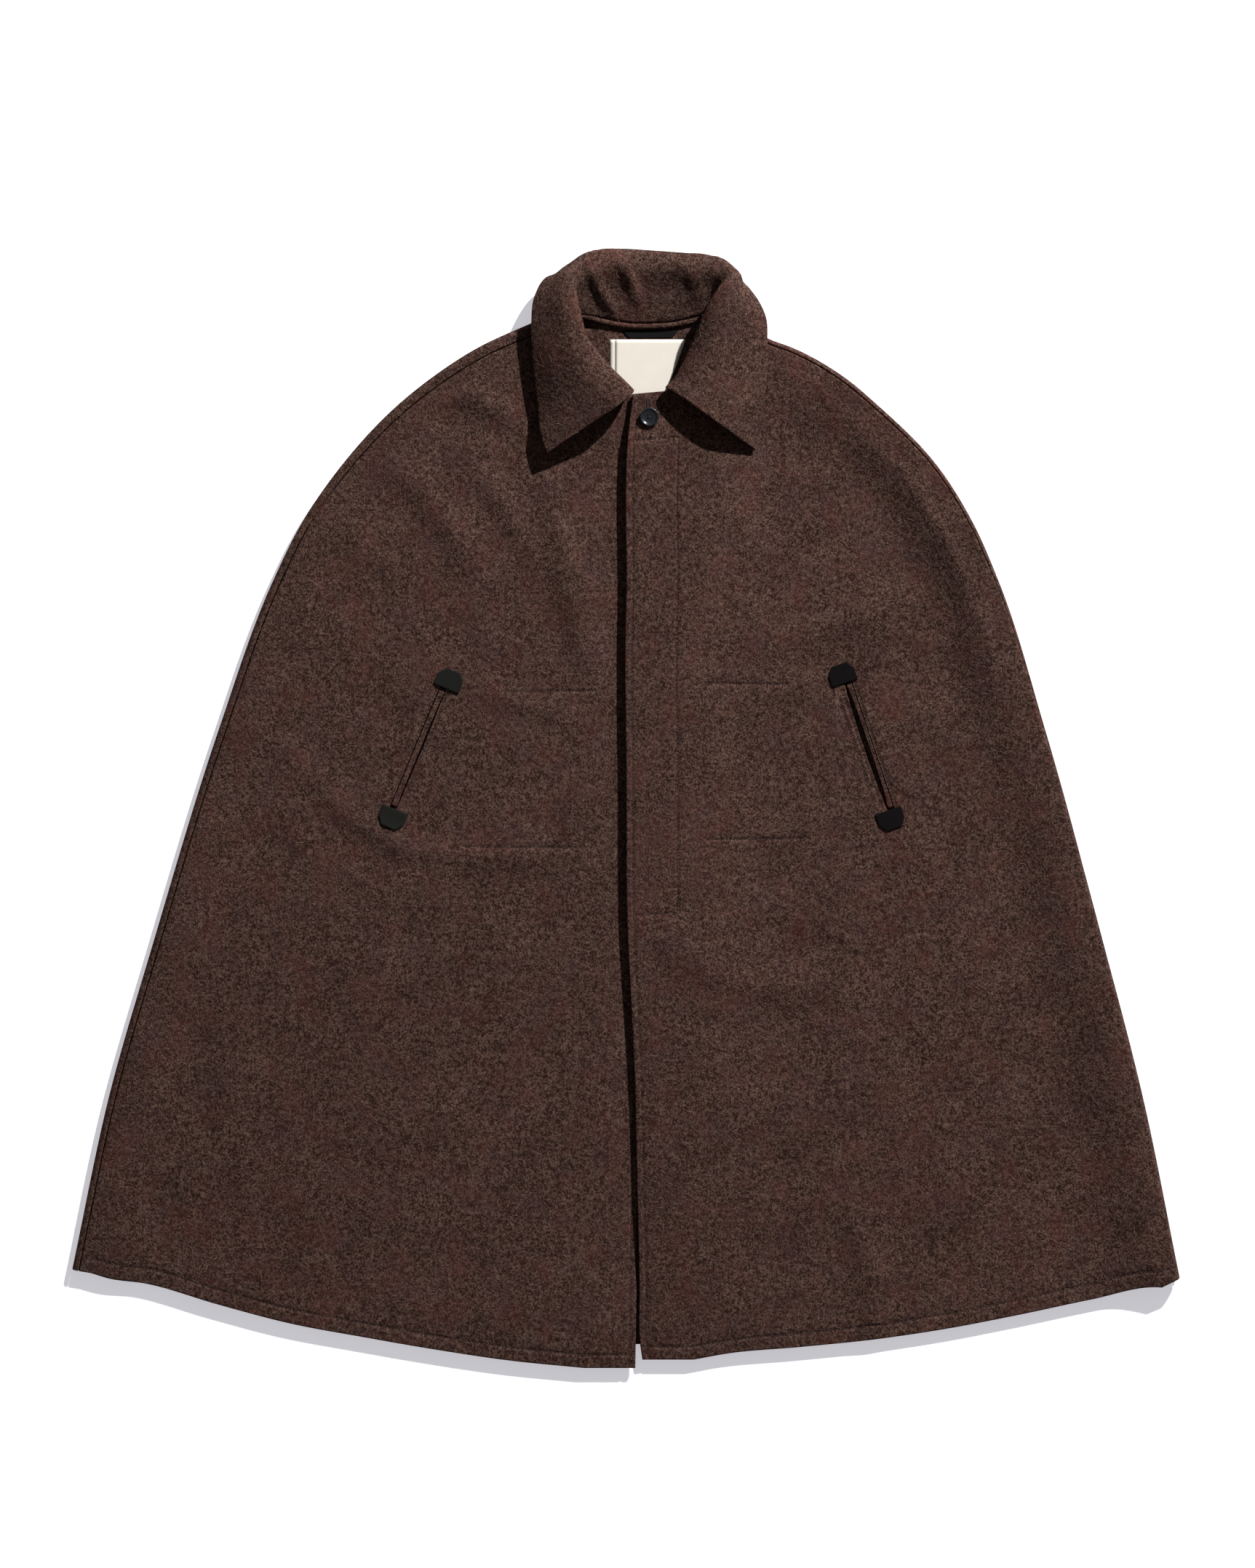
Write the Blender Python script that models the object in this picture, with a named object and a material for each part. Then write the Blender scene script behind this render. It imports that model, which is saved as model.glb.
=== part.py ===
"""Hoodless wool cape with a turn-down shirt collar, laid flat on its back and buttoned at the neck.

The back panel lies flat, rolls up round the fold at each side and is sewn there to the two fronts. The
wearer's left front (at +X) lies over the right one and has a facing and a fly strip behind its edge.
All sizes below are in millimetres and become metres where a mesh is made. The collar points to +Y, the
hem to -Y, and the cape lies on z = 0.
"""
import math

import bmesh
import bpy
import numpy as np
from mathutils import Vector
from mathutils.bvhtree import BVHTree

MM = 0.001
GAP = 0.3  # between pieces that are sewn together or lie on each other
CLOTH = 2.6  # wall of the heavy wool cloth
COLLAR_CLOTH = 4.0  # the collar is two layers pressed together
HEM_DEPTH = 15.0  # height of the turned-up hem
HEM_EXTRA = 2.0  # what the turned-up layer adds under the wall
FOLD_RADIUS = 4.2  # middle of the cloth where it rolls over at the sides
SEAM_END = 0.5  # length of the last cells at a side seam, short so that both walls end square to the fold
STRIP = 20.0  # width of the band along each side that follows the roll
FACING = 55.0  # width of the facing and of the fly behind the left front's edge
FRONT_REST = 7.0  # height of the middle of a front's cloth away from its edges
FRONT_LOW = 5.0  # the same where the right front is pressed down under the left one
FRONT_HEM = 8.4  # the same along the hems
BODY_LENGTH = 1130.0  # of a panel from its neck edge to its hem
HEM_SHARE = HEM_DEPTH / BODY_LENGTH  # of a panel's rows that the turned-up hem takes
NECK_BLEND = 0.06  # share of a side over which its rows turn from the neck edge to square with the outline
HEM_BLEND = 0.05  # the same at the hem
SOFT = 60.0  # distance from a rolled side over which a front settles to its own height
PRESSED_START, PRESSED_WIDTH = 6.0, 34.0  # band of the right front that the left front's edge presses down
PLACKET_WIDTH = 48.0  # band beside the facing over which the left front comes down from the layers
EDGE_STEP = 1.0  # how far each hidden layer's edge lies inside the one above

# Outlines seen from above, from the neck to the hem: x, y
SIDE_RIGHT_FRONT = [(-61, 536), (-103.5, 518), (-158, 493), (-206, 462), (-245, 430.5), (-303, 368),
                    (-346, 306), (-377, 243.5), (-434, 87.5), (-506, -146.5), (-551, -302.5), (-592, -494)]
SIDE_LEFT_FRONT = [(115, 526), (152, 502.5), (177.5, 493), (232, 462), (269.5, 430.5), (331, 368),
                   (370, 306), (397.5, 243.5), (446.5, 87.5), (510.5, -146.5), (550.5, -302.5), (591.5, -503)]
EDGE_RIGHT_FRONT = [(43, 442), (33, 165), (25, -114), (18, -287), (12, -459), (11, -537), (10, -599)]
EDGE_LEFT_FRONT = [(7, 444), (2, 399), (0, 228), (-1, 181), (0, 44), (1, -114), (9, -287), (12, -412),
                   (14, -505), (15, -573), (17.5, -590)]
NECK_RIGHT_FRONT = [(-12, 445), (-22, 452), (-49, 470), (-67, 492)]
NECK_LEFT_FRONT = [(62, 449), (78, 457), (97, 470), (112, 488)]
NECK_BACK = [(-38, 530), (-20, 530.5), (2, 527.5), (27, 527.5), (52, 529.5), (76, 534)]
HEM_RIGHT_FRONT = [(-45, -597.5), (-125, -591), (-203, -579.5), (-281, -566), (-359, -551.5), (-437, -531),
                   (-515, -508.5), (-554, -503)]
HEM_LEFT_FRONT = [(70, -586), (109, -583.5), (187, -576.5), (265, -568.5), (343, -557), (421, -542),
                  (499, -525.5), (572, -512)]
HEM_BACK = [(-554, -500), (-437, -521), (-281, -551), (-125, -570), (7, -574), (125, -568), (281, -550),
            (437, -527), (554, -508)]

# Large folds of the fronts, each a soft ridge along three points: x and y of each, height, half width
FOLDS = [
    (-196, 462, -155, 440, -112, 428, 2.4, 15),
    (-258, 372, -206, 322, -160, 242, 2.6, 17),
    (-156, 352, -132, 322, -104, 284, 2.0, 14),
    (-62, 338, -40, 230, -8, 126, 3.2, 16),
    (-146, 138, -105, 116, -62, 90, 1.6, 15),
    (-378, 82, -234, -30, -36, -48, 2.8, 22),
    (268, 430, 398, 190, 428, 92, 4.0, 22),
    (428, 92, 482, -130, 566, -398, 3.6, 24),
    (165, 488, 182, 474, 205, 466, 1.8, 13),
    (100, 168, 160, 222, 292, 240, 2.6, 18),
    (112, 98, 160, 126, 214, 116, 1.8, 14),
    (28, -122, 130, -186, 236, -184, 2.4, 18),
    (240, -440, 262, -500, 264, -560, 2.0, 15),
]

# Height of the middle of the left front's cloth along its edge, over the layers behind it: y, z
EDGE_STACK = [(-599, 8.4), (-520, 9.4), (-450, 10.8), (-287, 13.0), (-126, 15.0), (300, 15.6), (396, 16.2),
              (425, 12.0), (600, 11.0)]
FLY_ENDS = (-114, 393)  # y of the bottom and the top of the fly's stitched box
FLY_MARGIN = 5.0  # how far the fly strip runs past the box
OPEN_FROM, OPEN_LENGTH = -470.0, 90.0  # where the fronts begin to part, and the length they take to rise

# Where the side seam runs, measured round the fold from its outermost line, up and inwards: share of the
# side from neck to hem, the right front's seam, the left front's seam
SIDE_SEAMS = [(0.0, 14.5, 6.9), (0.12, 13.0, 6.6), (0.32, 9.5, 5.6), (0.62, 8.4, 0.6), (1.0, 8.4, -2.0)]

# Collar from its right front end round the back of the neck to its left front end. Each row has the seam,
# the crease and the outer edge, x, y and z of each, and how far the middle of the fall is raised
COLLAR = [
    (2, 443, 8.5, 6, 442, 33, -84, 379, 24, 3),
    (-9, 447, 9.5, -4, 454, 37, -91, 399, 22, 4),
    (-27, 455, 11.5, -22, 473, 39, -94, 427, 18, 5),
    (-43, 465, 12.5, -33, 487, 39, -97, 456, 19, 5),
    (-60, 481, 13.5, -44, 504, 39, -100, 489, 22, 3),
    (-70, 499, 14.5, -49, 523, 38, -101, 519, 25, 1),
    (-72, 517, 15.0, -54, 544, 38, -98, 546, 23, 1),
    (-64, 531, 15.0, -58, 567, 35, -84, 568, 13, 1),
    (-44, 529, 9.0, -49, 588, 25, -52, 560, 5, 0),
    (-22, 525.6, 5.8, -30, 596, 21, -24, 545, 2.4, 0),
    (3, 520.7, 5.6, -3, 597, 18, 2, 540, 2.4, 0),
    (28, 520.6, 5.6, 27, 595.5, 17, 28, 540, 2.4, 0),
    (53, 522.5, 5.6, 56, 593.5, 17.5, 54, 541, 2.4, 0),
    (78, 528.5, 6.0, 84, 591, 20, 80, 547, 2.4, 0),
    (98, 533, 9.0, 106, 583, 24, 112, 556, 5, 0),
    (108, 530, 12.0, 111, 571, 31, 124, 561, 9, 1),
    (114, 523, 14.0, 102, 557, 36, 137, 549, 14, 1),
    (119, 511, 15.0, 91, 541, 35, 149, 527, 18, 1),
    (117, 493, 14.5, 79, 516, 28, 151, 497, 19, 3),
    (109, 479, 14.0, 70, 494, 22, 151, 473, 18, 6),
    (94, 465, 14.3, 62, 476, 20, 149, 446, 17, 9),
    (72, 454, 14.9, 53, 460, 20, 145, 419, 15, 13),
    (48, 448.5, 13.8, 43.5, 449, 24, 138, 383, 13, 15),
]
CREASE_RADIUS = 6.5

# Hand slits in the wearer's right and left front: plan points of both ends, widths of the gap and the welt
SLITS = {
    "right": dict(top=(-192, 130), bottom=(-247, -2), gap=1.6, welt=5.4),
    "left": dict(top=(234, 136), bottom=(281, -3), gap=3.4, welt=3.6),
}
WELT_DROP = 0.4  # how far a welt's face lies below the cloth's
WELT_THICKNESS = 1.8
TAB_LENGTH, TAB_BREADTH, TAB_HEIGHT = 29.0, 21.0, 1.5
TAB_OVERLAP = 1.5  # how far a tab's flat side reaches over the end of its slit
TAB_POINT = 0.6  # share of a tab's breadth where it begins to narrow to its blunt point

# Neck binding: points along its middle, x and y, its width and height. The two labels: corners of each
BINDING = [(-46, 528), (-24, 521.3), (3, 517.6), (28, 517.2), (53, 519.2), (84, 526.3)]
BINDING_WIDTH, BINDING_HEIGHT = 5.0, 3.4
NECK_LABEL = [[(-6, 513.5), (56, 513.8)], [(2, 504.5), (50, 505)]]
CARE_LABEL = [[(-17, 503), (64, 503)], [(-17, 436), (40, 436)]]
NECK_LABEL_HEIGHT, CARE_LABEL_HEIGHT = 0.6, 0.5

# Neck button: its centre, and its profile from the middle of its back round its rim to the middle of its
# dish, radius and height
BUTTON_CENTRE = (25.0, 419.0)
BUTTON_PROFILE = [(0, 0), (8.6, 0), (10, 1.4), (10, 3.0), (9.2, 4.0), (8.2, 3.6), (7.0, 2.6), (0, 2.4)]

WOOL = (0.046, 0.024, 0.019)
LEATHER = (0.010, 0.008, 0.008)
PALE = (0.79, 0.73, 0.66)
BLACK = (0.012, 0.012, 0.014)


def material(name, colour, roughness):
    """A plain finish."""
    finish = bpy.data.materials.new(name)
    finish.use_nodes = True
    shader = finish.node_tree.nodes["Principled BSDF"]
    shader.inputs["Base Color"].default_value = (*colour, 1)
    shader.inputs["Roughness"].default_value = roughness
    return finish


def add_object(name, vertices, faces, colour, roughness=0.9):
    """Makes a named object of points in millimetres and faces, each with a finish of its own."""
    mesh = bpy.data.meshes.new(name)
    mesh.from_pydata((np.asarray(vertices) * MM).tolist(), [], faces)
    mesh.materials.append(material(name, colour, roughness))
    mesh.shade_smooth()
    mesh.set_sharp_from_angle(angle=math.radians(40))
    thing = bpy.data.objects.new(name, mesh)
    bpy.context.collection.objects.link(thing)
    return thing


def smoothstep(x):
    """0 below 0, 1 above 1 and a soft step between."""
    x = np.clip(x, 0, 1)
    return x * x * (3 - 2 * x)


def unit(vectors):
    """Vectors of length 1 along the given ones."""
    return vectors / np.linalg.norm(vectors, axis=-1)[..., None]


def trace(points, at):
    """Points of a smooth curve through the given ones, at counts along them: 1.5 is past the second one."""
    points = np.asarray(points, float)
    knots = np.append(0, np.cumsum(np.linalg.norm(np.diff(points, axis=0), axis=1)))
    slopes = np.gradient(points, knots, axis=0)
    index = np.clip(np.asarray(at).astype(int), 0, len(points) - 2)
    t = (np.asarray(at) - index)[:, None]
    span = np.diff(knots)[index][:, None]
    return ((1 + 2 * t) * (1 - t) ** 2 * points[index] + t * (1 - t) ** 2 * span * slopes[index]
            + t * t * (3 - 2 * t) * points[index + 1] + t * t * (t - 1) * span * slopes[index + 1])


def curve(points, shares):
    """Points at shares of the length of a smooth curve through the given points."""
    traced = trace(points, np.linspace(0, len(points) - 1, 600))
    lengths = np.append(0, np.cumsum(np.linalg.norm(np.diff(traced, axis=0), axis=1)))
    return np.stack([np.interp(np.asarray(shares) * lengths[-1], lengths, c) for c in traced.T], axis=-1)


def coons(top, bottom, inner, outer, u, v):
    """Plan points of a panel between its four edges. u runs from inner to outer, v from top to bottom."""
    u = u[None, :, None]
    v = v[:, None, None]
    between_rows = (1 - v) * top[None] + v * bottom[None]
    between_sides = (1 - u) * inner[:, None] + u * outer[:, None]
    corners = ((1 - v) * ((1 - u) * top[0] + u * top[-1]) + v * ((1 - u) * bottom[0] + u * bottom[-1]))
    return between_rows + between_sides - corners


def fold_height(x, y):
    """Height that the large folds add at plan points."""
    total = np.zeros_like(x)
    shares = np.linspace(0, 1, 25)
    for x0, y0, x1, y1, x2, y2, height, half_width in FOLDS:
        route = curve([(x0, y0), (x1, y1), (x2, y2)], shares)
        distance = np.hypot(x[..., None] - route[:, 0], y[..., None] - route[:, 1])
        nearest = distance.argmin(axis=-1)
        ends = np.sin(np.pi * np.clip(shares[nearest], 0.03, 0.97)) ** 0.5
        total += height * ends * np.exp(-(distance.min(axis=-1) / half_width) ** 2)
    return total


def stack_height(y):
    """Height of the left front's edge over the layers behind it."""
    return np.interp(y, *zip(*EDGE_STACK))


def front_height(x, y, side):
    """Height of the middle of a front's cloth at plan points, away from the rolled side."""
    open_height = FRONT_REST + fold_height(x, y)
    edge_y, edge_x = np.array(EDGE_LEFT_FRONT)[::-1, 1], np.array(EDGE_LEFT_FRONT)[::-1, 0]
    from_edge = x - np.interp(y, edge_y, edge_x)
    if side == "right":
        pressed = smoothstep((-from_edge - PRESSED_START) / PRESSED_WIDTH)
        low = FRONT_LOW + (FRONT_HEM - FRONT_LOW) * smoothstep((OPEN_FROM - y) / OPEN_LENGTH)
        return low + (np.maximum(open_height, low) - low) * pressed
    stack = stack_height(y)
    return stack + (open_height - stack) * smoothstep((from_edge - FACING - CLOTH) / PLACKET_WIDTH)


def roll_section(q):
    """Inset from the outline and height, at a length measured round the side fold from its outermost line."""
    quarter = math.pi * FOLD_RADIUS / 2
    angle = np.clip(q, -quarter, quarter) / FOLD_RADIUS
    inset = FOLD_RADIUS * (1 - np.cos(angle)) + np.maximum(np.abs(q) - quarter, 0)
    return inset, CLOTH / 2 + FOLD_RADIUS * (1 + np.sin(angle))


def strip_directions(outline, v, towards, neck_way, hem_way):
    """Inward plan direction of each row of a side strip, of length 1 measured square to the outline."""
    along = np.gradient(outline, axis=0)
    square = np.stack([-along[:, 1], along[:, 0]], axis=1) * towards
    square /= np.linalg.norm(square, axis=1)[:, None]
    near_neck = (1 - smoothstep(v / NECK_BLEND))[:, None]
    near_hem = smoothstep((v - 1 + HEM_BLEND) / HEM_BLEND)[:, None]
    way = square * (1 - near_neck - near_hem) + near_neck * np.array(neck_way) + near_hem * np.array(hem_way)
    return way / (way * square).sum(axis=1)[:, None]


def row_shares(count):
    """Shares of the length of a panel for its rows, with closer rows at the neck and at the hem's step."""
    body = np.linspace(0, 1 - 1.5 * HEM_SHARE, count) ** 1.06
    return np.concatenate([[0, 0.008], body[1:], [1 - HEM_SHARE, 1 - 0.15 * HEM_SHARE, 1]])


STRIP_END = math.pi * FOLD_RADIUS / 2 + STRIP - FOLD_RADIUS
HEM_RISE = (0.93, 0.06)  # where a front begins to rise to its hem and how much of its rows that takes
SIDES = {
    "right": dict(outline=SIDE_RIGHT_FRONT, edge=EDGE_RIGHT_FRONT, neck=NECK_RIGHT_FRONT, hem=HEM_RIGHT_FRONT,
                  towards=1, neck_way=(-0.30, -0.95), hem_way=(0.98, -0.17), back_way=(0.9, -0.42), seam=1),
    "left": dict(outline=SIDE_LEFT_FRONT, edge=EDGE_LEFT_FRONT, neck=NECK_LEFT_FRONT, hem=HEM_LEFT_FRONT,
                 towards=-1, neck_way=(0.10, -0.99), hem_way=(-0.90, -0.44), back_way=(-1.0, 0.1), seam=2),
}


def seam_place(v, side):
    """Where the side seam lies round the fold, for rows of a panel."""
    table = np.array(SIDE_SEAMS)
    return np.interp(v, table[:, 0], table[:, SIDES[side]["seam"]])


def between(first, last, count):
    """Rows of evenly spaced values, each from its first to its last one."""
    return first[:, None] + (last - first)[:, None] * np.linspace(0, 1, count)


def front_middle(side, v, inner_columns, edge_columns, seam_columns):
    """The middle of a front's cloth as rows of points from its front edge to its side seam."""
    cut = SIDES[side]
    outline = curve(cut["outline"], v)
    way = strip_directions(outline, v, cut["towards"], cut["neck_way"], cut["hem_way"])
    strip_start = outline + way * STRIP
    edge = curve(cut["edge"], v)
    across = 1 if side == "left" else -1
    facing_line = np.array(cut["edge"], float) + (FACING * across, 0)
    facing_line[0] = cut["neck"][0]
    facing_inner = curve(facing_line, v)
    u = np.linspace(0, 1, inner_columns)
    neck = curve([facing_inner[0], *cut["neck"][1:], strip_start[0]], u)
    hem = curve([facing_inner[-1], *cut["hem"][1:], strip_start[-1]], u)
    panel = coons(neck, hem, facing_inner, strip_start, u, v)
    shares = np.asarray(edge_columns)[None, :, None] / FACING
    placket = edge[:, None] * (1 - shares) + facing_inner[:, None] * shares
    plan = np.concatenate([placket, panel], axis=1)
    height = front_height(plan[..., 0], plan[..., 1], side)
    inset = STRIP + np.linalg.norm(plan - strip_start[:, None], axis=2)
    top = roll_section(STRIP_END)[1]
    hem_rise = smoothstep((v - HEM_RISE[0]) / HEM_RISE[1])[:, None] * np.maximum(FRONT_HEM - height, 0)
    height = top + (height + hem_rise - top) * smoothstep((inset - STRIP) / SOFT)
    seam = seam_place(v, side)
    first = np.maximum(math.pi * FOLD_RADIUS / 2, seam + 3)
    q = between(first, seam + GAP / 2 + SEAM_END, seam_columns - 1)
    q = np.append(q, (seam + GAP / 2)[:, None], axis=1)
    inset, roll_height = roll_section(q)
    strip = outline[:, None] + way[:, None] * inset[..., None]
    middle = np.concatenate([plan, strip], axis=1)
    return np.concatenate([middle, np.concatenate([height, roll_height], axis=1)[..., None]], axis=2)


def back_strip(side, v, columns):
    """The back's band along one side, from the side seam round the fold to the flat."""
    cut = SIDES[side]
    outline = curve(cut["outline"], v)
    top_way = strip_directions(outline, v, cut["towards"], cut["neck_way"], cut["hem_way"])
    flat_way = strip_directions(outline, v, cut["towards"], cut["back_way"], cut["hem_way"])
    start = seam_place(v, side) - GAP / 2
    quarter = math.pi * FOLD_RADIUS / 2
    bottom = np.full(len(v), -quarter)
    q = between(start - SEAM_END, bottom, columns - 1)
    q = np.concatenate([start[:, None], q, np.full((len(v), 1), -STRIP_END)], axis=1)
    inset, height = roll_section(q)
    turned = np.clip((quarter - q) / (2 * quarter), 0, 1)[..., None]
    way = top_way[:, None] * (1 - turned) + flat_way[:, None] * turned
    plan = outline[:, None] + way * inset[..., None]
    return np.append(plan, height[..., None], axis=2)


def back_middle(v, inner_columns, strip_columns):
    """The middle of the back's cloth, from the right front's seam round to the left front's."""
    right = back_strip("right", v, strip_columns)
    left = back_strip("left", v, strip_columns)
    u = np.linspace(0, 1, inner_columns)
    neck = curve([right[0, -1, :2], *NECK_BACK[1:-1], left[0, -1, :2]], u)
    hem = curve([right[-1, -1, :2], *HEM_BACK, left[-1, -1, :2]], u)
    plan = coons(neck, hem, right[:, -1, :2], left[:, -1, :2], u, v)[:, 1:-1]
    flat = np.append(plan, np.full(plan.shape[:2] + (1,), CLOTH / 2), axis=2)
    return np.concatenate([right, flat, left[:, ::-1]], axis=1)


def slopes_along(grid, axis):
    """Direction of a grid of points along its rows or columns, where its cells may be uneven."""
    chords = np.diff(grid, axis=axis)
    lengths = np.linalg.norm(chords, axis=2)[..., None]
    ways = np.moveaxis(chords / lengths, axis, 0)
    lengths = np.moveaxis(lengths, axis, 0)
    inside = ways[:-1] * lengths[1:] + ways[1:] * lengths[:-1]
    return np.moveaxis(np.concatenate([ways[:1], inside, ways[-1:]]), 0, axis)


def normals(grid):
    """Unit normals of a grid of points, up where its columns run to +X and its rows to -Y."""
    square = np.cross(slopes_along(grid, 0), slopes_along(grid, 1))
    return square / np.linalg.norm(square, axis=2)[..., None]


def shell(upper, lower, flip=False):
    """Closed shape between two grids of points: its two faces and the strip round its edge."""
    rows, columns = upper.shape[:2]
    index = np.arange(rows * columns).reshape(rows, columns)
    cells = np.stack([index[:-1, :-1], index[1:, :-1], index[1:, 1:], index[:-1, 1:]], axis=-1).reshape(-1, 4)
    rim = np.concatenate([index[:-1, 0], index[-1, :-1], index[:0:-1, -1], index[0, :0:-1]])
    if flip:
        cells = cells[:, ::-1]
        rim = rim[::-1]
    far = rows * columns
    faces = cells.tolist() + (cells[:, ::-1] + far).tolist()
    faces += [[a, a + far, b + far, b] for a, b in zip(rim.tolist(), np.roll(rim, -1).tolist())]
    return np.concatenate([upper.reshape(-1, 3), lower.reshape(-1, 3)]), faces


def wall(grid, up, down, flip=False):
    """Closed wall over a grid of the middle of the cloth. up and down are thicknesses by row and column."""
    out = normals(grid) * (-1 if flip else 1)
    upper = grid + out * np.broadcast_to(up, grid.shape[:2])[..., None]
    lower = grid - out * np.broadcast_to(down, grid.shape[:2])[..., None]
    return shell(upper, lower, flip)


def hem_extra(v, columns, strip_columns):
    """Thickness that the turned-up hem adds, by row and column, none round the side fold."""
    rows = np.clip((v - 1 + 1.25 * HEM_SHARE) / (0.25 * HEM_SHARE), 0, 1)
    across = np.ones(columns)
    for index in strip_columns:
        across[index] = 0
    return HEM_EXTRA * rows[:, None] * across[None]


ROWS = row_shares(37)
EDGE_COLUMNS = (0, 10, 30)
INNER_COLUMNS = 17
SEAM_COLUMNS = 5
BACK_STRIP_COLUMNS = 9


def make_front(side):
    """One front with its turned-up hem and its hand slit."""
    grid = front_middle(side, ROWS, INNER_COLUMNS, EDGE_COLUMNS, SEAM_COLUMNS)
    columns = grid.shape[1]
    extra = hem_extra(ROWS, columns, range(columns - SEAM_COLUMNS - 1, columns))
    front = add_object("front_" + side, *wall(grid, CLOTH / 2, CLOTH / 2 + extra, side == "right"), WOOL)
    cut_slit(front, side)
    return grid


def slit_ends(side):
    """The top and the bottom of a slit, as plan points."""
    return np.array(SLITS[side]["top"], float), np.array(SLITS[side]["bottom"], float)


def slit_lines(side, shares):
    """Plan points along a slit: its inner lip, the welt's inner and outer lines and the outer lip."""
    slit = SLITS[side]
    top, bottom = slit_ends(side)
    along = unit(bottom - top)
    outward = np.array([-along[1], along[0]]) * (-1 if side == "right" else 1)
    opened = (0.15 + 0.85 * np.sin(np.pi * shares) ** 0.7)[:, None] * outward * slit["gap"] / 2
    spine = top + np.outer(shares, bottom - top)
    welt_edge = spine + outward * (slit["gap"] / 2 + slit["welt"])
    return spine - opened, spine + opened, welt_edge, welt_edge + outward * GAP


def cut_slit(front, side):
    """Cuts a front for its hand slit and the welt in it."""
    inner, _, _, outer = slit_lines(side, np.linspace(0, 1, 9))
    ring = np.concatenate([inner, outer[::-1]])
    count = len(ring)
    vertices = [(*p, -5) for p in ring] + [(*p, 40) for p in ring]
    faces = [list(range(count)), list(range(count, 2 * count))]
    faces += [[k, (k + 1) % count, count + (k + 1) % count, count + k] for k in range(count)]
    cutter = add_object("slit_cutter_" + side, vertices, faces, WOOL)
    turn_outwards(cutter)
    cutter.hide_render = True
    cutter.display_type = "WIRE"
    cut = front.modifiers.new("slit", "BOOLEAN")
    cut.operation = "DIFFERENCE"
    cut.object = cutter


def turn_outwards(thing):
    """Turns all faces of a closed piece outwards."""
    shape = bmesh.new()
    shape.from_mesh(thing.data)
    bmesh.ops.recalc_face_normals(shape, faces=shape.faces)
    shape.to_mesh(thing.data)
    shape.free()


def height_map(name):
    """A function that gives the top of a finished piece, the highest near a plan point."""
    thing = bpy.data.objects[name]
    points = np.array([v.co for v in thing.data.vertices]) / MM
    tree = BVHTree.FromPolygons(points.tolist(), [list(p.vertices) for p in thing.data.polygons])

    def top(x, y, around=3.0):
        found = []
        for dx, dy in ((0, 0), (around, 0), (-around, 0), (0, around), (0, -around)):
            hit = tree.ray_cast(Vector((x + dx, y + dy, 200)), Vector((0, 0, -1)))[0]
            if hit is not None:
                found.append(hit.z)
        return max(found)

    return top


def laid_on(name, plan, top, height, colour, roughness=0.9, rise=GAP):
    """A flat piece that follows what it lies on, made from a grid of plan points and set rise above it."""
    rest = np.array([[top(x, y) + rise for x, y in row] for row in plan])
    lower = np.append(plan, rest[..., None], axis=2)
    upper = lower + (0, 0, height)
    turn = np.cross(plan[1, 0] - plan[0, 0], plan[0, 1] - plan[0, 0])
    add_object(name, *shell(upper, lower, turn < 0), colour, roughness)


def make_slit_trims(side):
    """The welt in a slit and the leather tab at each end of it."""
    top = height_map("front_" + side)
    _, near, far, _ = slit_lines(side, np.linspace(0.02, 0.98, 13))
    rise = -WELT_DROP - WELT_THICKNESS
    laid_on("slit_welt_" + side, np.stack([near, far]), top, WELT_THICKNESS, WOOL, rise=rise)
    start, end = slit_ends(side)
    along = unit(end - start)
    across = np.array([-along[1], along[0]])
    for place, corner, away in (("top", start, -along), ("bottom", end, along)):
        rows = []
        for share in (0, TAB_POINT / 2, TAB_POINT, 1.0):
            half = TAB_LENGTH / 2 * min(1, 1 - (share - TAB_POINT) * 1.1)
            middle = corner + away * (share * TAB_BREADTH - TAB_OVERLAP)
            rows.append([middle + across * x * half for x in (-1, -0.5, 0, 0.5, 1)])
        laid_on("slit_tab_%s_%s" % (side, place), np.array(rows), top, TAB_HEIGHT, LEATHER, 0.6)


def make_layers(front_grid):
    """The facing and the fly strip behind the left front's edge, parallel to its first columns."""
    edge_count = len(EDGE_COLUMNS) + 1
    band = front_grid[:, :edge_count]
    step = CLOTH + GAP
    keep = ROWS < 1 - 1.6 * HEM_SHARE
    facing = band[keep] - normals(band)[keep] * step
    facing[:, 0, 0] += EDGE_STEP
    add_object("front_facing", *wall(facing, CLOTH / 2, CLOTH / 2), WOOL)
    rows_y = facing[:, 0, 1]
    fly = facing[(rows_y < FLY_ENDS[1] + FLY_MARGIN) & (rows_y > FLY_ENDS[0] - FLY_MARGIN)] - (0, 0, step)
    fly[:, 0, 0] += EDGE_STEP
    add_object("fly_strip", *wall(fly, CLOTH / 2, CLOTH / 2), WOOL)


def collar_middle(columns, steps):
    """The middle of the collar's cloth: for each station along the neck, seam, stand, crease, fall, edge."""
    stations = curve(COLLAR, np.linspace(0, 1, columns))
    seam, crease, edge, raised = stations[:, :3], stations[:, 3:6], stations[:, 6:9], stations[:, 9:]
    to_seam, to_edge = unit(seam - crease), unit(edge - crease)
    along = unit(np.gradient(crease, axis=0))
    tip = -unit(to_seam + to_edge + 1e-6)
    out = unit(np.cross(tip, along))
    stand = np.linalg.norm(seam - crease, axis=1)
    radius = np.minimum(CREASE_RADIUS, 0.25 * stand)[:, None]
    inner = crease + to_seam * 1.3 * radius - out * radius
    outer = crease + to_edge * 1.3 * radius + out * radius
    rows = []
    for k in range(columns):
        fall = (outer[k] + edge[k]) / 2 + (0, 0, raised[k, 0])
        section = [seam[k], (seam[k] + inner[k]) / 2, inner[k], crease[k], outer[k], fall, edge[k]]
        rows.append(trace(section, steps))
    return np.array(rows)


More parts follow.
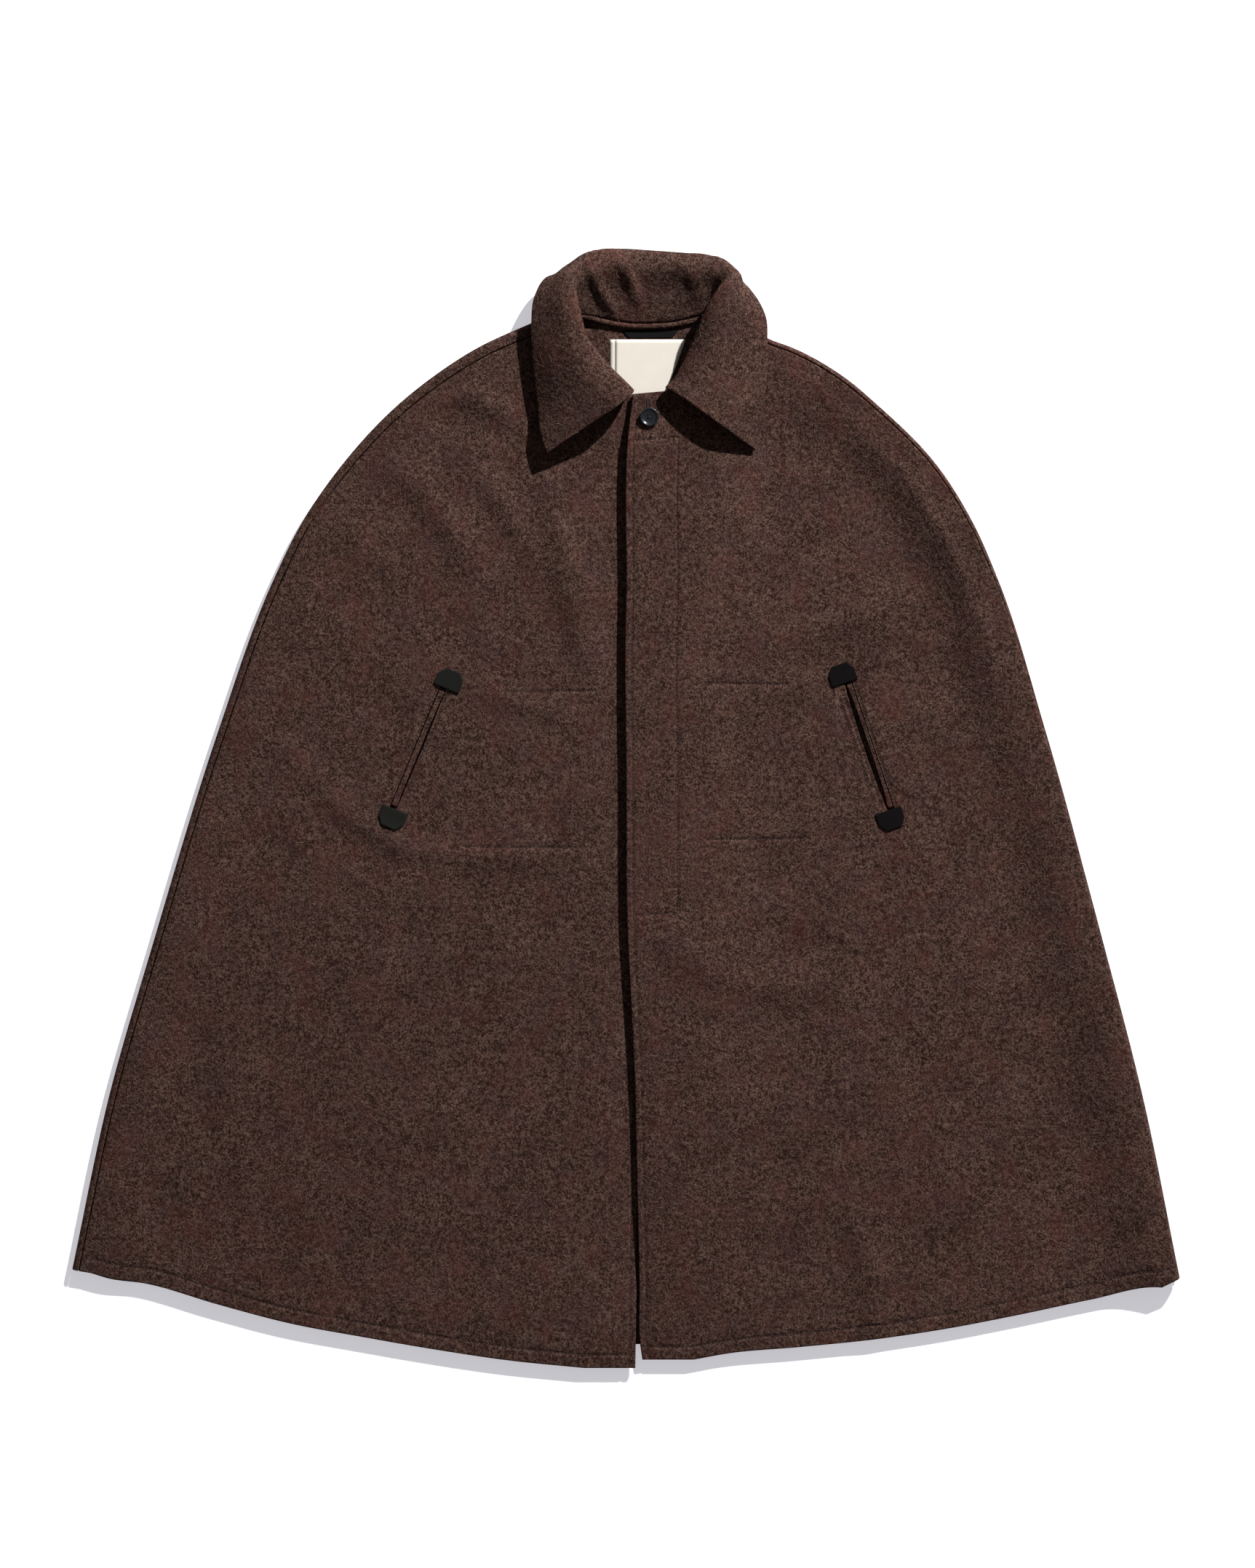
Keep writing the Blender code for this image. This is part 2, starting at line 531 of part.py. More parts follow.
def make_collar():
    """The collar as one doubled cloth, sewn on over the panels' neck edges."""
    steps = np.array([0, 0.5, 1, 1.6, 2, 2.35, 2.7, 3, 3.3, 3.65, 4, 4.5, 5, 5.5, 6])
    grid = collar_middle(46, steps)
    grid = np.swapaxes(grid, 0, 1)
    grid[..., 2] = np.maximum(grid[..., 2], COLLAR_CLOTH / 2 + 0.1)
    add_object("collar", *wall(grid, COLLAR_CLOTH / 2, COLLAR_CLOTH / 2), WOOL)


def make_neck_trims():
    """The binding over the back neck seam and the two bare labels below it."""
    route = curve(BINDING, np.linspace(0, 1, 17))
    sides = 8
    angles = np.arange(sides) * 2 * math.pi / sides + math.pi / sides
    along = unit(np.gradient(route, axis=0))
    across = np.stack([-along[:, 1], along[:, 0]], axis=1)
    rings = []
    for place, way in zip(route, across):
        for angle in angles:
            plan = place + way * math.cos(angle) * BINDING_WIDTH / 2
            rings.append((*plan, CLOTH + GAP + BINDING_HEIGHT / 2 * (1 + math.sin(angle))))
    faces = []
    for k in range(len(route) - 1):
        for j in range(sides):
            a, b = k * sides + j, k * sides + (j + 1) % sides
            faces.append([a, b, b + sides, a + sides])
    last = (len(route) - 1) * sides
    faces.append(list(range(sides))[::-1])
    faces.append([last + j for j in range(sides)])
    turn_outwards(add_object("neck_binding", rings, faces, WOOL))

    def inside_back(x, y):
        return CLOTH

    laid_on("neck_label", np.array(NECK_LABEL), inside_back, NECK_LABEL_HEIGHT, BLACK)
    laid_on("care_label", np.array(CARE_LABEL), inside_back, CARE_LABEL_HEIGHT, PALE)


def make_button():
    """The black button at the neck, dished, with a rim, lying on the left front."""
    top = height_map("front_left")
    x, y = BUTTON_CENTRE
    base = max(top(x, y, around=8.0), top(x, y, around=4.0)) + GAP
    sides = 24
    vertices = [(x, y, base), (x, y, base + BUTTON_PROFILE[-1][1])]
    for radius, z in BUTTON_PROFILE[1:-1]:
        for k in range(sides):
            angle = 2 * math.pi * k / sides
            vertices.append((x + radius * math.cos(angle), y + radius * math.sin(angle), base + z))
    faces = []
    rings = len(BUTTON_PROFILE) - 2
    for k in range(sides):
        n = (k + 1) % sides
        faces.append([0, 2 + n, 2 + k])
        for ring in range(rings - 1):
            a = 2 + ring * sides
            faces.append([a + k, a + n, a + sides + n, a + sides + k])
        a = 2 + (rings - 1) * sides
        faces.append([a + k, a + n, 1])
    add_object("neck_button", vertices, faces, BLACK, 0.35)


def main():
    """Builds the cape from its panels to its button."""
    for thing in list(bpy.data.objects):
        bpy.data.objects.remove(thing)
    back = back_middle(ROWS, 15, BACK_STRIP_COLUMNS)
    rolled = [*range(BACK_STRIP_COLUMNS + 1), *range(-BACK_STRIP_COLUMNS - 1, 0)]
    extra = hem_extra(ROWS, back.shape[1], rolled)
    add_object("back_panel", *wall(back, CLOTH / 2 + extra, CLOTH / 2), WOOL)
    make_front("right")
    left = make_front("left")
    make_layers(left)
    make_collar()
    make_neck_trims()
    make_slit_trims("right")
    make_slit_trims("left")
    make_button()


main()
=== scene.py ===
"""Hoodless wool cape with a turn-down shirt collar, laid flat on its back and buttoned at the neck.

Each operator makes one piece, or one group of like pieces, and the panel in the 3D view's sidebar lists
them. Tables and lengths are in millimetres, seen from above: the collar points to +Y, the hem to -Y, and +X
is the wearer's left. They become metres where a mesh is made.
"""
import math
from contextlib import contextmanager

import bmesh
import bpy
import numpy as np
from bpy.props import FloatProperty, FloatVectorProperty, IntProperty, PointerProperty
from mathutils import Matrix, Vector, noise
from mathutils.bvhtree import BVHTree


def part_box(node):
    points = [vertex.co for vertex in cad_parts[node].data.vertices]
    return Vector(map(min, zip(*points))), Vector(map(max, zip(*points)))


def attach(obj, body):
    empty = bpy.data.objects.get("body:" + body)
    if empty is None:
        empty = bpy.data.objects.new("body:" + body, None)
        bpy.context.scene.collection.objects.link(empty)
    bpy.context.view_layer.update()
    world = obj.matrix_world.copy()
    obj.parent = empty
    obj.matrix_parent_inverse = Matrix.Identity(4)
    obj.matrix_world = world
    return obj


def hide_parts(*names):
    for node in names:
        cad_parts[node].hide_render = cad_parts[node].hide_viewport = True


bl_info = {
    "name": "Collared Wool Cape",
    "version": (1, 0, 0),
    "blender": (4, 5, 0),
    "location": "View3D > Sidebar > Cape",
    "description": "Makes a wool cape laid flat: panels, collar, labels, slits, button, stitches and nap",
    "category": "Add Mesh",
}

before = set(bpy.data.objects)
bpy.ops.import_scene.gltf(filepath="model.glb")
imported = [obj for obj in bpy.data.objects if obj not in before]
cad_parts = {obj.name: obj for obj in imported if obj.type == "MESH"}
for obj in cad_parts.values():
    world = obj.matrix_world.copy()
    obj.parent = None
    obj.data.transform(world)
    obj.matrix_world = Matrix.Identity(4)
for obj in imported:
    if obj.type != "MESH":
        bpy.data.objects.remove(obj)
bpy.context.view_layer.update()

MM = 0.001
GAP = 0.3  # between pieces that lie on each other
SEAM_GAP = 0.8  # of the side seams
WELT_GAP = 0.9  # between a welt and the cloth beside it
FOLD_RADIUS = 4.2  # middle of the cloth where it rolls over at the sides
STRIP = 20.0  # width of the band along each side that follows the roll
FACING = 55.0  # width of the facing and of the fly behind the left front's edge
FRONT_REST = 7.0  # height of the middle of a front's cloth away from its edges
FRONT_LOW = 5.0  # the same where the right front is pressed down under the left one
FRONT_HEM = 8.4  # the same along the hems
BODY_LENGTH = 1130.0  # of a panel from its neck edge to its hem
NECK_BLEND = 0.06  # share of a side over which its rows turn from the neck edge to square with the outline
HEM_BLEND = 0.05  # the same at the hem
SOFT = 60.0  # distance from a rolled side over which a front settles to its own height
FOLD_REACH = 16.0  # distance from a rolled side over which the large folds die away
LIFT_WIDTH = 85.0  # how far from the outline the lifted side slopes down to the front
PRESSED_START, PRESSED_WIDTH = 6.0, 34.0  # band of the right front that the left front's edge presses down
PLACKET_START = 2.6  # distance past the facing where the left front begins to come down from the layers
PLACKET_WIDTH = 105.0  # band over which it comes down
EDGE_STEP = 1.0  # how far each hidden layer's edge lies inside the one above
HEM_RISE = (0.93, 0.06)  # where a front begins to rise to its hem and how much of its rows that takes
OPEN_FROM, OPEN_LENGTH = -470.0, 90.0  # where the fronts begin to part, and the length they take to rise
FLY_ENDS = (-114, 393)  # y of the bottom and the top of the fly's stitched box
FLY_MARGIN = 5.0  # how far the fly's second layer reaches past each end
FLY_SPREAD = 0.7  # sharpness of the groove along the fly's inner side beside the other grooves
FACING_END = 1.6  # height above the hem's edge where the facing ends, as a multiple of the hem's depth
HEM_FADE = 0.25  # share of the hem's depth over which its layer fades out at the top
COLUMN_START, COLUMN_STEP = 14, 4.4  # first of the even columns behind the edge's stitches, and their step
DIP_WIDTH = 1.7  # half width of the groove of a stitched edge
CREASE_RADIUS = 6.5  # of the collar's fold
COLLAR_DIP = 1.5  # depth of the collar's stitch groove, as a multiple of the other rows'
COLLAR_ROUNDING = 0.75  # sharpness of the collar's edges beside those of the cloth
ROUTE_SHARE = 0.84  # length on the collar's cloth for each unit of its table's own length
COLLAR_COLUMNS, COLLAR_ROWS = 190, 44  # even columns and rows of the collar's grid
STAND_ROWS = 27  # rows of the collar's grid from its seam to past its crease
FRONT_ROLL = 13  # columns of a front's grid that follow the roll of its side
BACK_ROLL = 20  # columns of the back's grid that follow the roll of each side
BARE_HEM = 8  # columns beside a side seam without hem stitches
FAR = 999.0  # distance that stands for no edge nearby
RAY_START = 200.0  # height from which rays are cast down on the cloth
FACES_UP = 0.3  # least z of the normal of a point on the cloth's upper face
ROW_DIP, ROW_WIDTH = 1.1, 1.5  # depth and half width of the groove of a straight row that is sewn through
ROW_REACH = 6.0  # distance from a pocket row within which a front has finer cells
STITCH_SHARE = 0.74  # length of a stitch as a share of the way to the next one
STITCH_LIFT = 0.1  # height of the stitches over the cloth

# Outlines seen from above, from the neck to the hem: x, y
SIDE_RIGHT_FRONT = [(-61, 536), (-103.5, 518), (-158, 493), (-206, 462), (-245, 430.5), (-303, 368),
                    (-346, 306), (-377, 243.5), (-434, 87.5), (-506, -146.5), (-551, -302.5), (-592, -494)]
SIDE_LEFT_FRONT = [(115, 526), (152, 502.5), (177.5, 493), (232, 462), (269.5, 430.5), (331, 368),
                   (370, 306), (397.5, 243.5), (446.5, 87.5), (510.5, -146.5), (550.5, -302.5),
                   (591.5, -503)]
EDGE_RIGHT_FRONT = [(43, 442), (33, 165), (25, -114), (18, -287), (12, -459), (11, -537), (10, -599)]
EDGE_LEFT_FRONT = [(7, 444), (2, 399), (0, 228), (-1, 181), (0, 44), (1, -114), (9, -287), (12, -412),
                   (14, -505), (15, -573), (17.5, -590)]
NECK_RIGHT_FRONT = [(-12, 445), (-22, 452), (-49, 470), (-67, 492)]
NECK_LEFT_FRONT = [(62, 449), (78, 457), (97, 470), (112, 488)]
NECK_BACK = [(-38, 530), (-20, 530.5), (2, 527.5), (27, 527.5), (52, 529.5), (76, 534)]
HEM_RIGHT_FRONT = [(-45, -597.5), (-125, -591), (-203, -579.5), (-281, -566), (-359, -551.5), (-437, -531),
                   (-515, -508.5), (-554, -503)]
HEM_LEFT_FRONT = [(70, -586), (109, -583.5), (187, -576.5), (265, -568.5), (343, -557), (421, -542),
                  (499, -525.5), (572, -512)]
HEM_BACK = [(-554, -500), (-437, -521), (-281, -551), (-125, -570), (7, -574), (125, -568), (281, -550),
            (437, -527), (554, -508)]

# Large folds of the fronts, each a soft ridge along three points: x and y of each, height, half width
FOLDS = [
    (-214, 456, -160, 438, -112, 412, 4.4, 15),
    (-262, 376, -206, 326, -160, 250, 4.8, 18),
    (-160, 362, -128, 322, -100, 270, 3.4, 14),
    (-84, 350, -60, 240, -34, 130, 5.4, 18),
    (-156, 130, -110, 112, -62, 96, 3.0, 12),
    (-392, 84, -262, -30, -50, -58, 3.2, 12),
    (250, 425, 360, 262, 398, 128, 3.0, 26),
    (165, 488, 182, 474, 205, 466, 2.4, 13),
    (100, 330, 128, 300, 140, 262, 2.4, 16),
    (150, 168, 220, 196, 330, 232, 3.8, 20),
    (112, 98, 160, 126, 214, 116, 2.2, 14),
    (28, -128, 100, -176, 226, -196, 3.0, 18),
    (240, -440, 262, -500, 264, -560, 3.0, 15),
]

# Small creases of the fronts: the same columns, with troughs below zero
CREASES = [
    (-128, 414, -98, 392, -70, 362, 0.7, 7),
    (-300, 300, -262, 262, -236, 206, 0.8, 10),
    (-92, 306, -70, 262, -58, 214, -0.6, 8),
    (-330, -60, -250, -92, -170, -96, 0.6, 12),
    (-210, -330, -150, -352, -96, -350, 0.5, 12),
    (-420, -380, -398, -440, -392, -500, 0.9, 9),
    (-478, -400, -466, -450, -462, -490, 0.8, 8),
    (-330, -480, -322, -520, -322, -556, 0.7, 8),
    (-262, -490, -250, -530, -250, -566, 0.6, 7),
    (150, 372, 190, 352, 236, 350, 0.6, 9),
    (330, 300, 346, 232, 352, 160, -0.7, 12),
    (96, 20, 142, -10, 198, -16, 0.6, 10),
    (330, -60, 372, -150, 396, -250, 0.6, 14),
    (120, -330, 190, -352, 262, -340, 0.5, 12),
    (420, -420, 430, -470, 430, -530, 0.9, 10),
    (340, -470, 350, -510, 352, -550, 0.6, 8),
    (92, -500, 98, -540, 98, -578, 0.5, 8),
]

# Soft random unevenness of the fronts: size of its features, height
UNEVENNESS = [(62, 0.9), (23, 0.25)]

# Height of the middle of the left front's cloth along its edge, over the layers behind it: y, z
EDGE_STACK = [(-599, 8.4), (-520, 9.4), (-450, 10.8), (-287, 13.0), (-126, 15.0), (300, 15.6), (396, 16.2),
              (425, 12.0), (600, 11.0)]

# How far the top of the wearer's-left side is lifted: share of the side from neck to hem, millimetres
SIDE_LIFT = [(0.0, 0.0), (0.07, 1.0), (0.16, 7.0), (0.3, 11.0), (0.5, 10.0), (0.75, 10.0), (0.95, 9.0),
             (1.0, 8.0)]

# Where the side seam runs, measured round the fold from its outermost line, up and inwards: share of the
# side from neck to hem, the right front's seam, the left front's seam
SIDE_SEAMS = [(0.0, 14.5, 6.9), (0.12, 13.0, 6.6), (0.32, 9.5, 5.6), (0.62, 8.4, 0.6), (1.0, 8.4, -2.0)]

# Collar from its right front end round the back of the neck to its left front end. Each row has the seam,
# the crease and the outer edge, x, y and z of each, and how far the middle of the fall is raised
COLLAR = [
    (2, 443, 8.5, 6, 442, 33, -84, 379, 24, 3),
    (-9, 447, 9.5, -4, 454, 37, -91, 399, 22, 4),
    (-27, 455, 11.5, -22, 473, 39, -94, 427, 18, 5),
    (-43, 465, 12.5, -33, 487, 39, -97, 456, 19, 5),
    (-60, 481, 13.5, -44, 504, 39, -100, 489, 22, 3),
    (-70, 499, 14.5, -49, 523, 38, -101, 519, 25, 1),
    (-72, 517, 15.0, -54, 544, 38, -98, 546, 23, 1),
    (-64, 531, 15.0, -58, 567, 35, -84, 568, 13, 1),
    (-44, 529, 9.0, -49, 588, 25, -52, 560, 5, 0),
    (-22, 525.6, 5.8, -30, 596, 21, -24, 545, 2.4, 0),
    (3, 520.7, 5.6, -3, 597, 18, 2, 540, 2.4, 0),
    (28, 520.6, 5.6, 27, 595.5, 17, 28, 540, 2.4, 0),
    (53, 522.5, 5.6, 56, 593.5, 17.5, 54, 541, 2.4, 0),
    (78, 528.5, 6.0, 84, 591, 20, 80, 547, 2.4, 0),
    (98, 533, 9.0, 106, 583, 24, 112, 556, 5, 0),
    (108, 530, 12.0, 111, 571, 31, 124, 561, 9, 1),
    (114, 523, 14.0, 102, 557, 36, 137, 549, 14, 1),
    (119, 511, 15.0, 91, 541, 35, 149, 527, 18, 1),
    (117, 493, 14.5, 79, 516, 28, 151, 497, 19, 3),
    (109, 479, 14.0, 70, 494, 22, 151, 473, 18, 6),
    (94, 465, 14.3, 62, 476, 20, 149, 446, 17, 9),
    (72, 454, 14.9, 53, 460, 20, 145, 419, 15, 13),
    (48, 448.5, 13.8, 43.5, 449, 24, 138, 383, 13, 15),
]

# Creases of the collar's stand at the back, in the columns of the folds
STAND_CREASES = [
    (-38, 578, -22, 545, -8, 522, 5.0, 6),
    (-10, 594, 5, 565, 14, 536, 4.0, 6),
    (58, 588, 72, 566, 80, 540, 3.0, 8),
]

# Hand slits in the wearer's right and left front: plan points of both ends, widths of the gap and the welt
SLITS = {
    "right": dict(top=(-192, 130), bottom=(-247, -2), gap=2.2, welt=5.4),
    "left": dict(top=(234, 136), bottom=(281, -3), gap=6.0, welt=3.6),
}
SLIT_REACH = 17.0  # distance from a slit within which a front has finer cells
LIP_WIDTH, LIP_DROP = 2.0, 0.9  # width and depth of the rounding of a slit's lips
LIP_SEARCH = 60.0  # distance to the left and right of a slit's middle that holds all of its lips
CUTTER_ENDS = (-5, 40)  # heights between which a slit's cutter reaches
WELT_DROP = 0.7  # how far a welt's face lies below the cloth's
WELT_THICKNESS = 1.8
WELT_REACH = 7.0  # distance at which a welt finds the cloth beside the open slit
TAB_REACH = 3.0  # distance within which a tab rises over what it lies on
TAB_LENGTH, TAB_BREADTH, TAB_HEIGHT = 29.0, 21.0, 1.5
TAB_OVERLAP = 1.5  # how far a tab's flat side reaches over the end of its slit
TAB_POINT = 0.6  # share of a tab's breadth where it begins to narrow to its blunt point
TAB_TAPER, TAB_ROUND = 1.1, 0.45  # how fast it narrows, and the rounding of its edges

# Binding over the back neck seam: x, y and how far it rises with the seam
BINDING = [(-56, 531, 3.5), (-46, 528, 3.0), (-24, 522, 0.5), (3, 517.6, 0), (28, 517.2, 0), (53, 519.2, 0),
           (84, 526.3, 0.8), (95, 529, 3.0)]
BINDING_WIDTH, BINDING_HEIGHT = 6.0, 4.6
BINDING_SIDES = 20  # flat sides round the roll

# Corners of the labels seen from above: the upper two, then the lower two
NECK_LABEL = [[(-6, 513.5), (56, 513.8)], [(2, 504.5), (50, 505)]]
CARE_LABEL = [[(-17, 503), (64, 503)], [(-17, 436), (40, 436)]]
CARE_COVER = [[(-11.5, 503), (64, 503)], [(-11.5, 436), (40, 436)]]
NECK_LABEL_THICKNESS = 0.5
CARE_LABEL_THICKNESS, CARE_COVER_THICKNESS = 0.25, 0.3
CARE_COVER_RISE = 0.27  # height of the care label's second layer over the first one's underside

BUTTON_RIM, BUTTON_SLOPE, BUTTON_BOWL = 1.7, 1.2, 3.0  # widths of the rings of the button's face, inwards
SLOPE_DROP, BOWL_DROP = 1.2, 0.35  # how far the slope and the bowl go down
BUTTON_ROUND = 0.7  # rounding of its edges
HOLE_OFFSET, HOLE_RADIUS = 1.6, 0.9  # of the button's four thread holes, from its middle on both axes
BUTTON_THREAD, PURL_THREAD = 0.9, 0.8  # thicknesses of the threads at the button and round its hole
THREAD_RISE = 0.5  # height of the crossing threads over the button's middle
BUTTONHOLE = ((24.0, 437.0), (25.0, 412.0))  # plan points of its two ends, the lower one under the button
PURL_STEP = 0.85  # from one stitch of the buttonhole to the next
PURL_INNER, PURL_OUTER = 0.35, 2.4  # distances of a stitch's ends from the buttonhole's middle line
PURL_TURN = 0.5  # distance of the inner ends where the stitches turn round the buttonhole's end
PURL_LIFT = 0.12  # height of the stitches over the cloth
PURL_HIDDEN = 12.0  # length of the buttonhole that has no stitches, under the button

# Single rows of stitches on a front, which hold the hidden pocket bag: wearer's side, x0, y0, x1, y1
POCKET_ROWS = [
    ("right", -131, 125, -34, 126),
    ("right", -174, -41, -54, -42),
    ("left", 85, 134, 176, 133),
    ("left", 85, -33, 195, -32),
]
# Rows of stitches beside the slits: wearer's side, offset from the slit's middle (outwards above zero),
# shares of the slit's length where the row begins and ends
SLIT_ROWS = [
    ("right", 9.5, 0.03, 0.97),
    ("right", -3.2, 0.05, 0.95),
    ("left", -5.4, 0.06, 0.97),
    ("left", -11.6, 0.10, 0.80),
    ("left", 9.6, 0.03, 0.97),
]

# Nap: points along each hair, shortest and longest one, radius
HAIR = (6, (3.5, 13), 0.09)
FIBRE = (3, (1.5, 4.5), 0.11)
NAP_FIELD = ((-595, 595), (-600, 598))  # x and y between which hairs are thrown
HAIR_STEP = 1.5  # greatest height that a hair climbs from one of its points to the next

# Where no hair grows: round the button, below the neck on the labels, round the tabs
BARE_BUTTON, BARE_BUTTON_LOW = 30, 405
BARE_LABELS = ((-20, 68), (430, 515))
BARE_TAB = 27

KEY_DIRECTION = (0.54, 0.84, 0.55)  # from the cape's middle to the key light
KEY_RADIUS = 0.09  # in metres
FLOOR_SIZE, FLOOR_DROP = 16, 0.0004  # in metres
SENSOR = 36  # width of the camera's sensor


class CapeCloth(bpy.types.PropertyGroup):
    """Sizes of the cloth, its hem and its nap"""
    wall: FloatProperty(name="Cloth wall", description="Thickness of the wool", default=2.6 * MM,
                        min=1 * MM, max=5 * MM, unit="LENGTH")
    collar_wall: FloatProperty(name="Collar wall", description="Thickness of the doubled collar",
                               default=4 * MM, min=2 * MM, max=8 * MM, unit="LENGTH")
    hem_depth: FloatProperty(name="Hem depth", description="Height of the turned-up hem", default=15 * MM,
                             min=8 * MM, max=40 * MM, unit="LENGTH")
    hem_extra: FloatProperty(name="Hem layer", description="What the turned-up layer adds to the wall",
                             default=2 * MM, min=0, max=3 * MM, unit="LENGTH")
    edge_radius: FloatProperty(name="Edge radius", description="Rounding of the cloth's edges",
                               default=1.5 * MM, min=0.5 * MM, max=2 * MM, unit="LENGTH")
    cell: FloatProperty(name="Cell", description="Size of the mesh's cells on the fronts", default=4.6 * MM,
                        min=3 * MM, max=20 * MM, unit="LENGTH")
    kemp_hairs: IntProperty(name="Pale hairs", description="Number of long pale hairs", default=5600, min=0)
    nap_fibres: IntProperty(name="Nap fibres", description="Number of short fibres", default=11000, min=0)


class CapeStitching(bpy.types.PropertyGroup):
    """Sizes of the topstitching"""
    length: FloatProperty(name="Stitch length", description="From one stitch to the next", default=4 * MM,
                          min=2 * MM, max=8 * MM, unit="LENGTH")
    thread: FloatProperty(name="Thread", description="Thickness of the thread", default=0.6 * MM,
                          min=0.2 * MM, max=1.5 * MM, unit="LENGTH")
    inset: FloatProperty(name="Edge stitch", description="Distance of the row from a front's edge",
                         default=7 * MM, min=3 * MM, max=15 * MM, unit="LENGTH")
    collar_inset: FloatProperty(name="Collar stitch", description="Distance of its row from the edge",
                                default=6 * MM, min=3 * MM, max=15 * MM, unit="LENGTH")
    dip: FloatProperty(name="Stitch dip", description="How deep a row of stitches pulls the cloth in",
                       default=0.8 * MM, min=0, max=1.2 * MM, unit="LENGTH")


class CapeColours(bpy.types.PropertyGroup):
    """Colours of the finishes, as linear values"""
    wool_dark: FloatVectorProperty(name="Wool, dark fibres", description="Ground of the heathered wool",
                                   default=(0.0240, 0.0104, 0.0078), subtype="COLOR", min=0, max=1)
    wool_light: FloatVectorProperty(name="Wool, light fibres", description="Light fibres in the wool",
                                    default=(0.155, 0.092, 0.072), subtype="COLOR", min=0, max=1)
    wool_red: FloatVectorProperty(name="Wool, reddish", description="Reddish cast in patches",
                                  default=(0.085, 0.026, 0.021), subtype="COLOR", min=0, max=1)
    wool_plum: FloatVectorProperty(name="Wool, plum", description="Plum cast in patches",
                                   default=(0.052, 0.027, 0.031), subtype="COLOR", min=0, max=1)
    hair: FloatVectorProperty(name="Pale hairs", description="Pale hairs on the wool",
                              default=(0.34, 0.25, 0.19), subtype="COLOR", min=0, max=1)
    thread: FloatVectorProperty(name="Thread", description="Thread of the topstitching",
                                default=(0.022, 0.012, 0.010), subtype="COLOR", min=0, max=1)
    leather_left: FloatVectorProperty(name="Left leather", description="Tabs at the wearer's-left slit",
                                      default=(0.0058, 0.0048, 0.0050), subtype="COLOR", min=0, max=1)
    leather_right: FloatVectorProperty(name="Right leather", description="Tabs at the wearer's-right slit",
                                       default=(0.0135, 0.0140, 0.0120), subtype="COLOR", min=0, max=1)
    pale_label: FloatVectorProperty(name="Pale label", description="Lower label",
                                    default=(0.80, 0.745, 0.655), subtype="COLOR", min=0, max=1)
    dark_label: FloatVectorProperty(name="Dark label", description="Upper label",
                                    default=(0.0060, 0.0056, 0.0062), subtype="COLOR", min=0, max=1)
    button: FloatVectorProperty(name="Button", description="Button at the neck",
                                default=(0.008, 0.010, 0.013), subtype="COLOR", min=0, max=1)


class CapeStage(bpy.types.PropertyGroup):
    """The view from above, the light and the floor"""
    view_width: FloatProperty(name="Picture width", description="Width that the picture covers on the floor",
                              default=1345.5 * MM, min=0.2, unit="LENGTH")
    view_height: FloatProperty(name="Picture height", description="Height that the picture covers",
                               default=1681.7 * MM, min=0.2, unit="LENGTH")
    view_middle: FloatVectorProperty(name="Picture middle", description="Floor point at its middle",
                                     default=(1.6 * MM, 26.5 * MM), size=2, unit="LENGTH")
    camera_height: FloatProperty(name="Camera height", description="Above the floor", default=6, min=1,
                                 unit="LENGTH")
    key: FloatProperty(name="Key light", description="Power of the low key light", default=2920, min=0,
                       unit="POWER")
    key_distance: FloatProperty(name="Key distance", description="From the cape's middle", default=6.5,
                                min=2, unit="LENGTH")
    fill: FloatProperty(name="Fill light", description="Strength of the light from all round", default=0.13,
                        min=0)
    floor_glow: FloatVectorProperty(name="Floor glow", description="Light that the floor gives in shadow",
                                    default=(0.465, 0.460, 0.495), subtype="COLOR", min=0, max=1)


class CapeSettings(bpy.types.PropertyGroup):
    """All settings of the cape"""
    cloth: PointerProperty(type=CapeCloth)
    stitching: PointerProperty(type=CapeStitching)
    colours: PointerProperty(type=CapeColours)
    stage: PointerProperty(type=CapeStage)


# Small helpers on numbers, points and curves

def smoothstep(x):
    """0 below 0, 1 above 1 and a soft step between."""
    x = np.clip(x, 0, 1)
    return x * x * (3 - 2 * x)


def unit(vectors):
    """Vectors of length 1 along the given ones."""
    return vectors / np.linalg.norm(vectors, axis=-1)[..., None]


def trace(points, at):
    """Points of a smooth curve through the given ones, at counts along them: 1.5 is past the second one."""
    points = np.asarray(points, float)
    knots = np.append(0, np.cumsum(np.linalg.norm(np.diff(points, axis=0), axis=1)))
    slopes = np.gradient(points, knots, axis=0)
    index = np.clip(np.asarray(at).astype(int), 0, len(points) - 2)
    t = (np.asarray(at) - index)[:, None]
    span = np.diff(knots)[index][:, None]
    return ((1 + 2 * t) * (1 - t) ** 2 * points[index] + t * (1 - t) ** 2 * span * slopes[index]
            + t * t * (3 - 2 * t) * points[index + 1] + t * t * (t - 1) * span * slopes[index + 1])


def measured(points):
    """Length along a row of points at each of them."""
    return np.append(0, np.cumsum(np.linalg.norm(np.diff(points, axis=0), axis=1)))


def resampled(points, lengths):
    """Points of a polyline at lengths along it."""
    along = measured(points)
    return np.stack([np.interp(lengths, along, column) for column in np.asarray(points).T], axis=-1)


def curve(points, shares):
    """Points at shares of the length of a smooth curve through the given points."""
    traced = trace(points, np.linspace(0, len(points) - 1, 600))
    return resampled(traced, np.asarray(shares) * measured(traced)[-1])


def merged(*parts, least=0.12):
    """One rising row of values from several, without those closer than the least step."""
    values = np.sort(np.concatenate([np.atleast_1d(p).astype(float) for p in parts]))
    kept = [values[0]]
    for value in values[1:-1]:
        if value - kept[-1] >= least and values[-1] - value >= least:
            kept.append(value)
    return np.array([*kept, values[-1]])


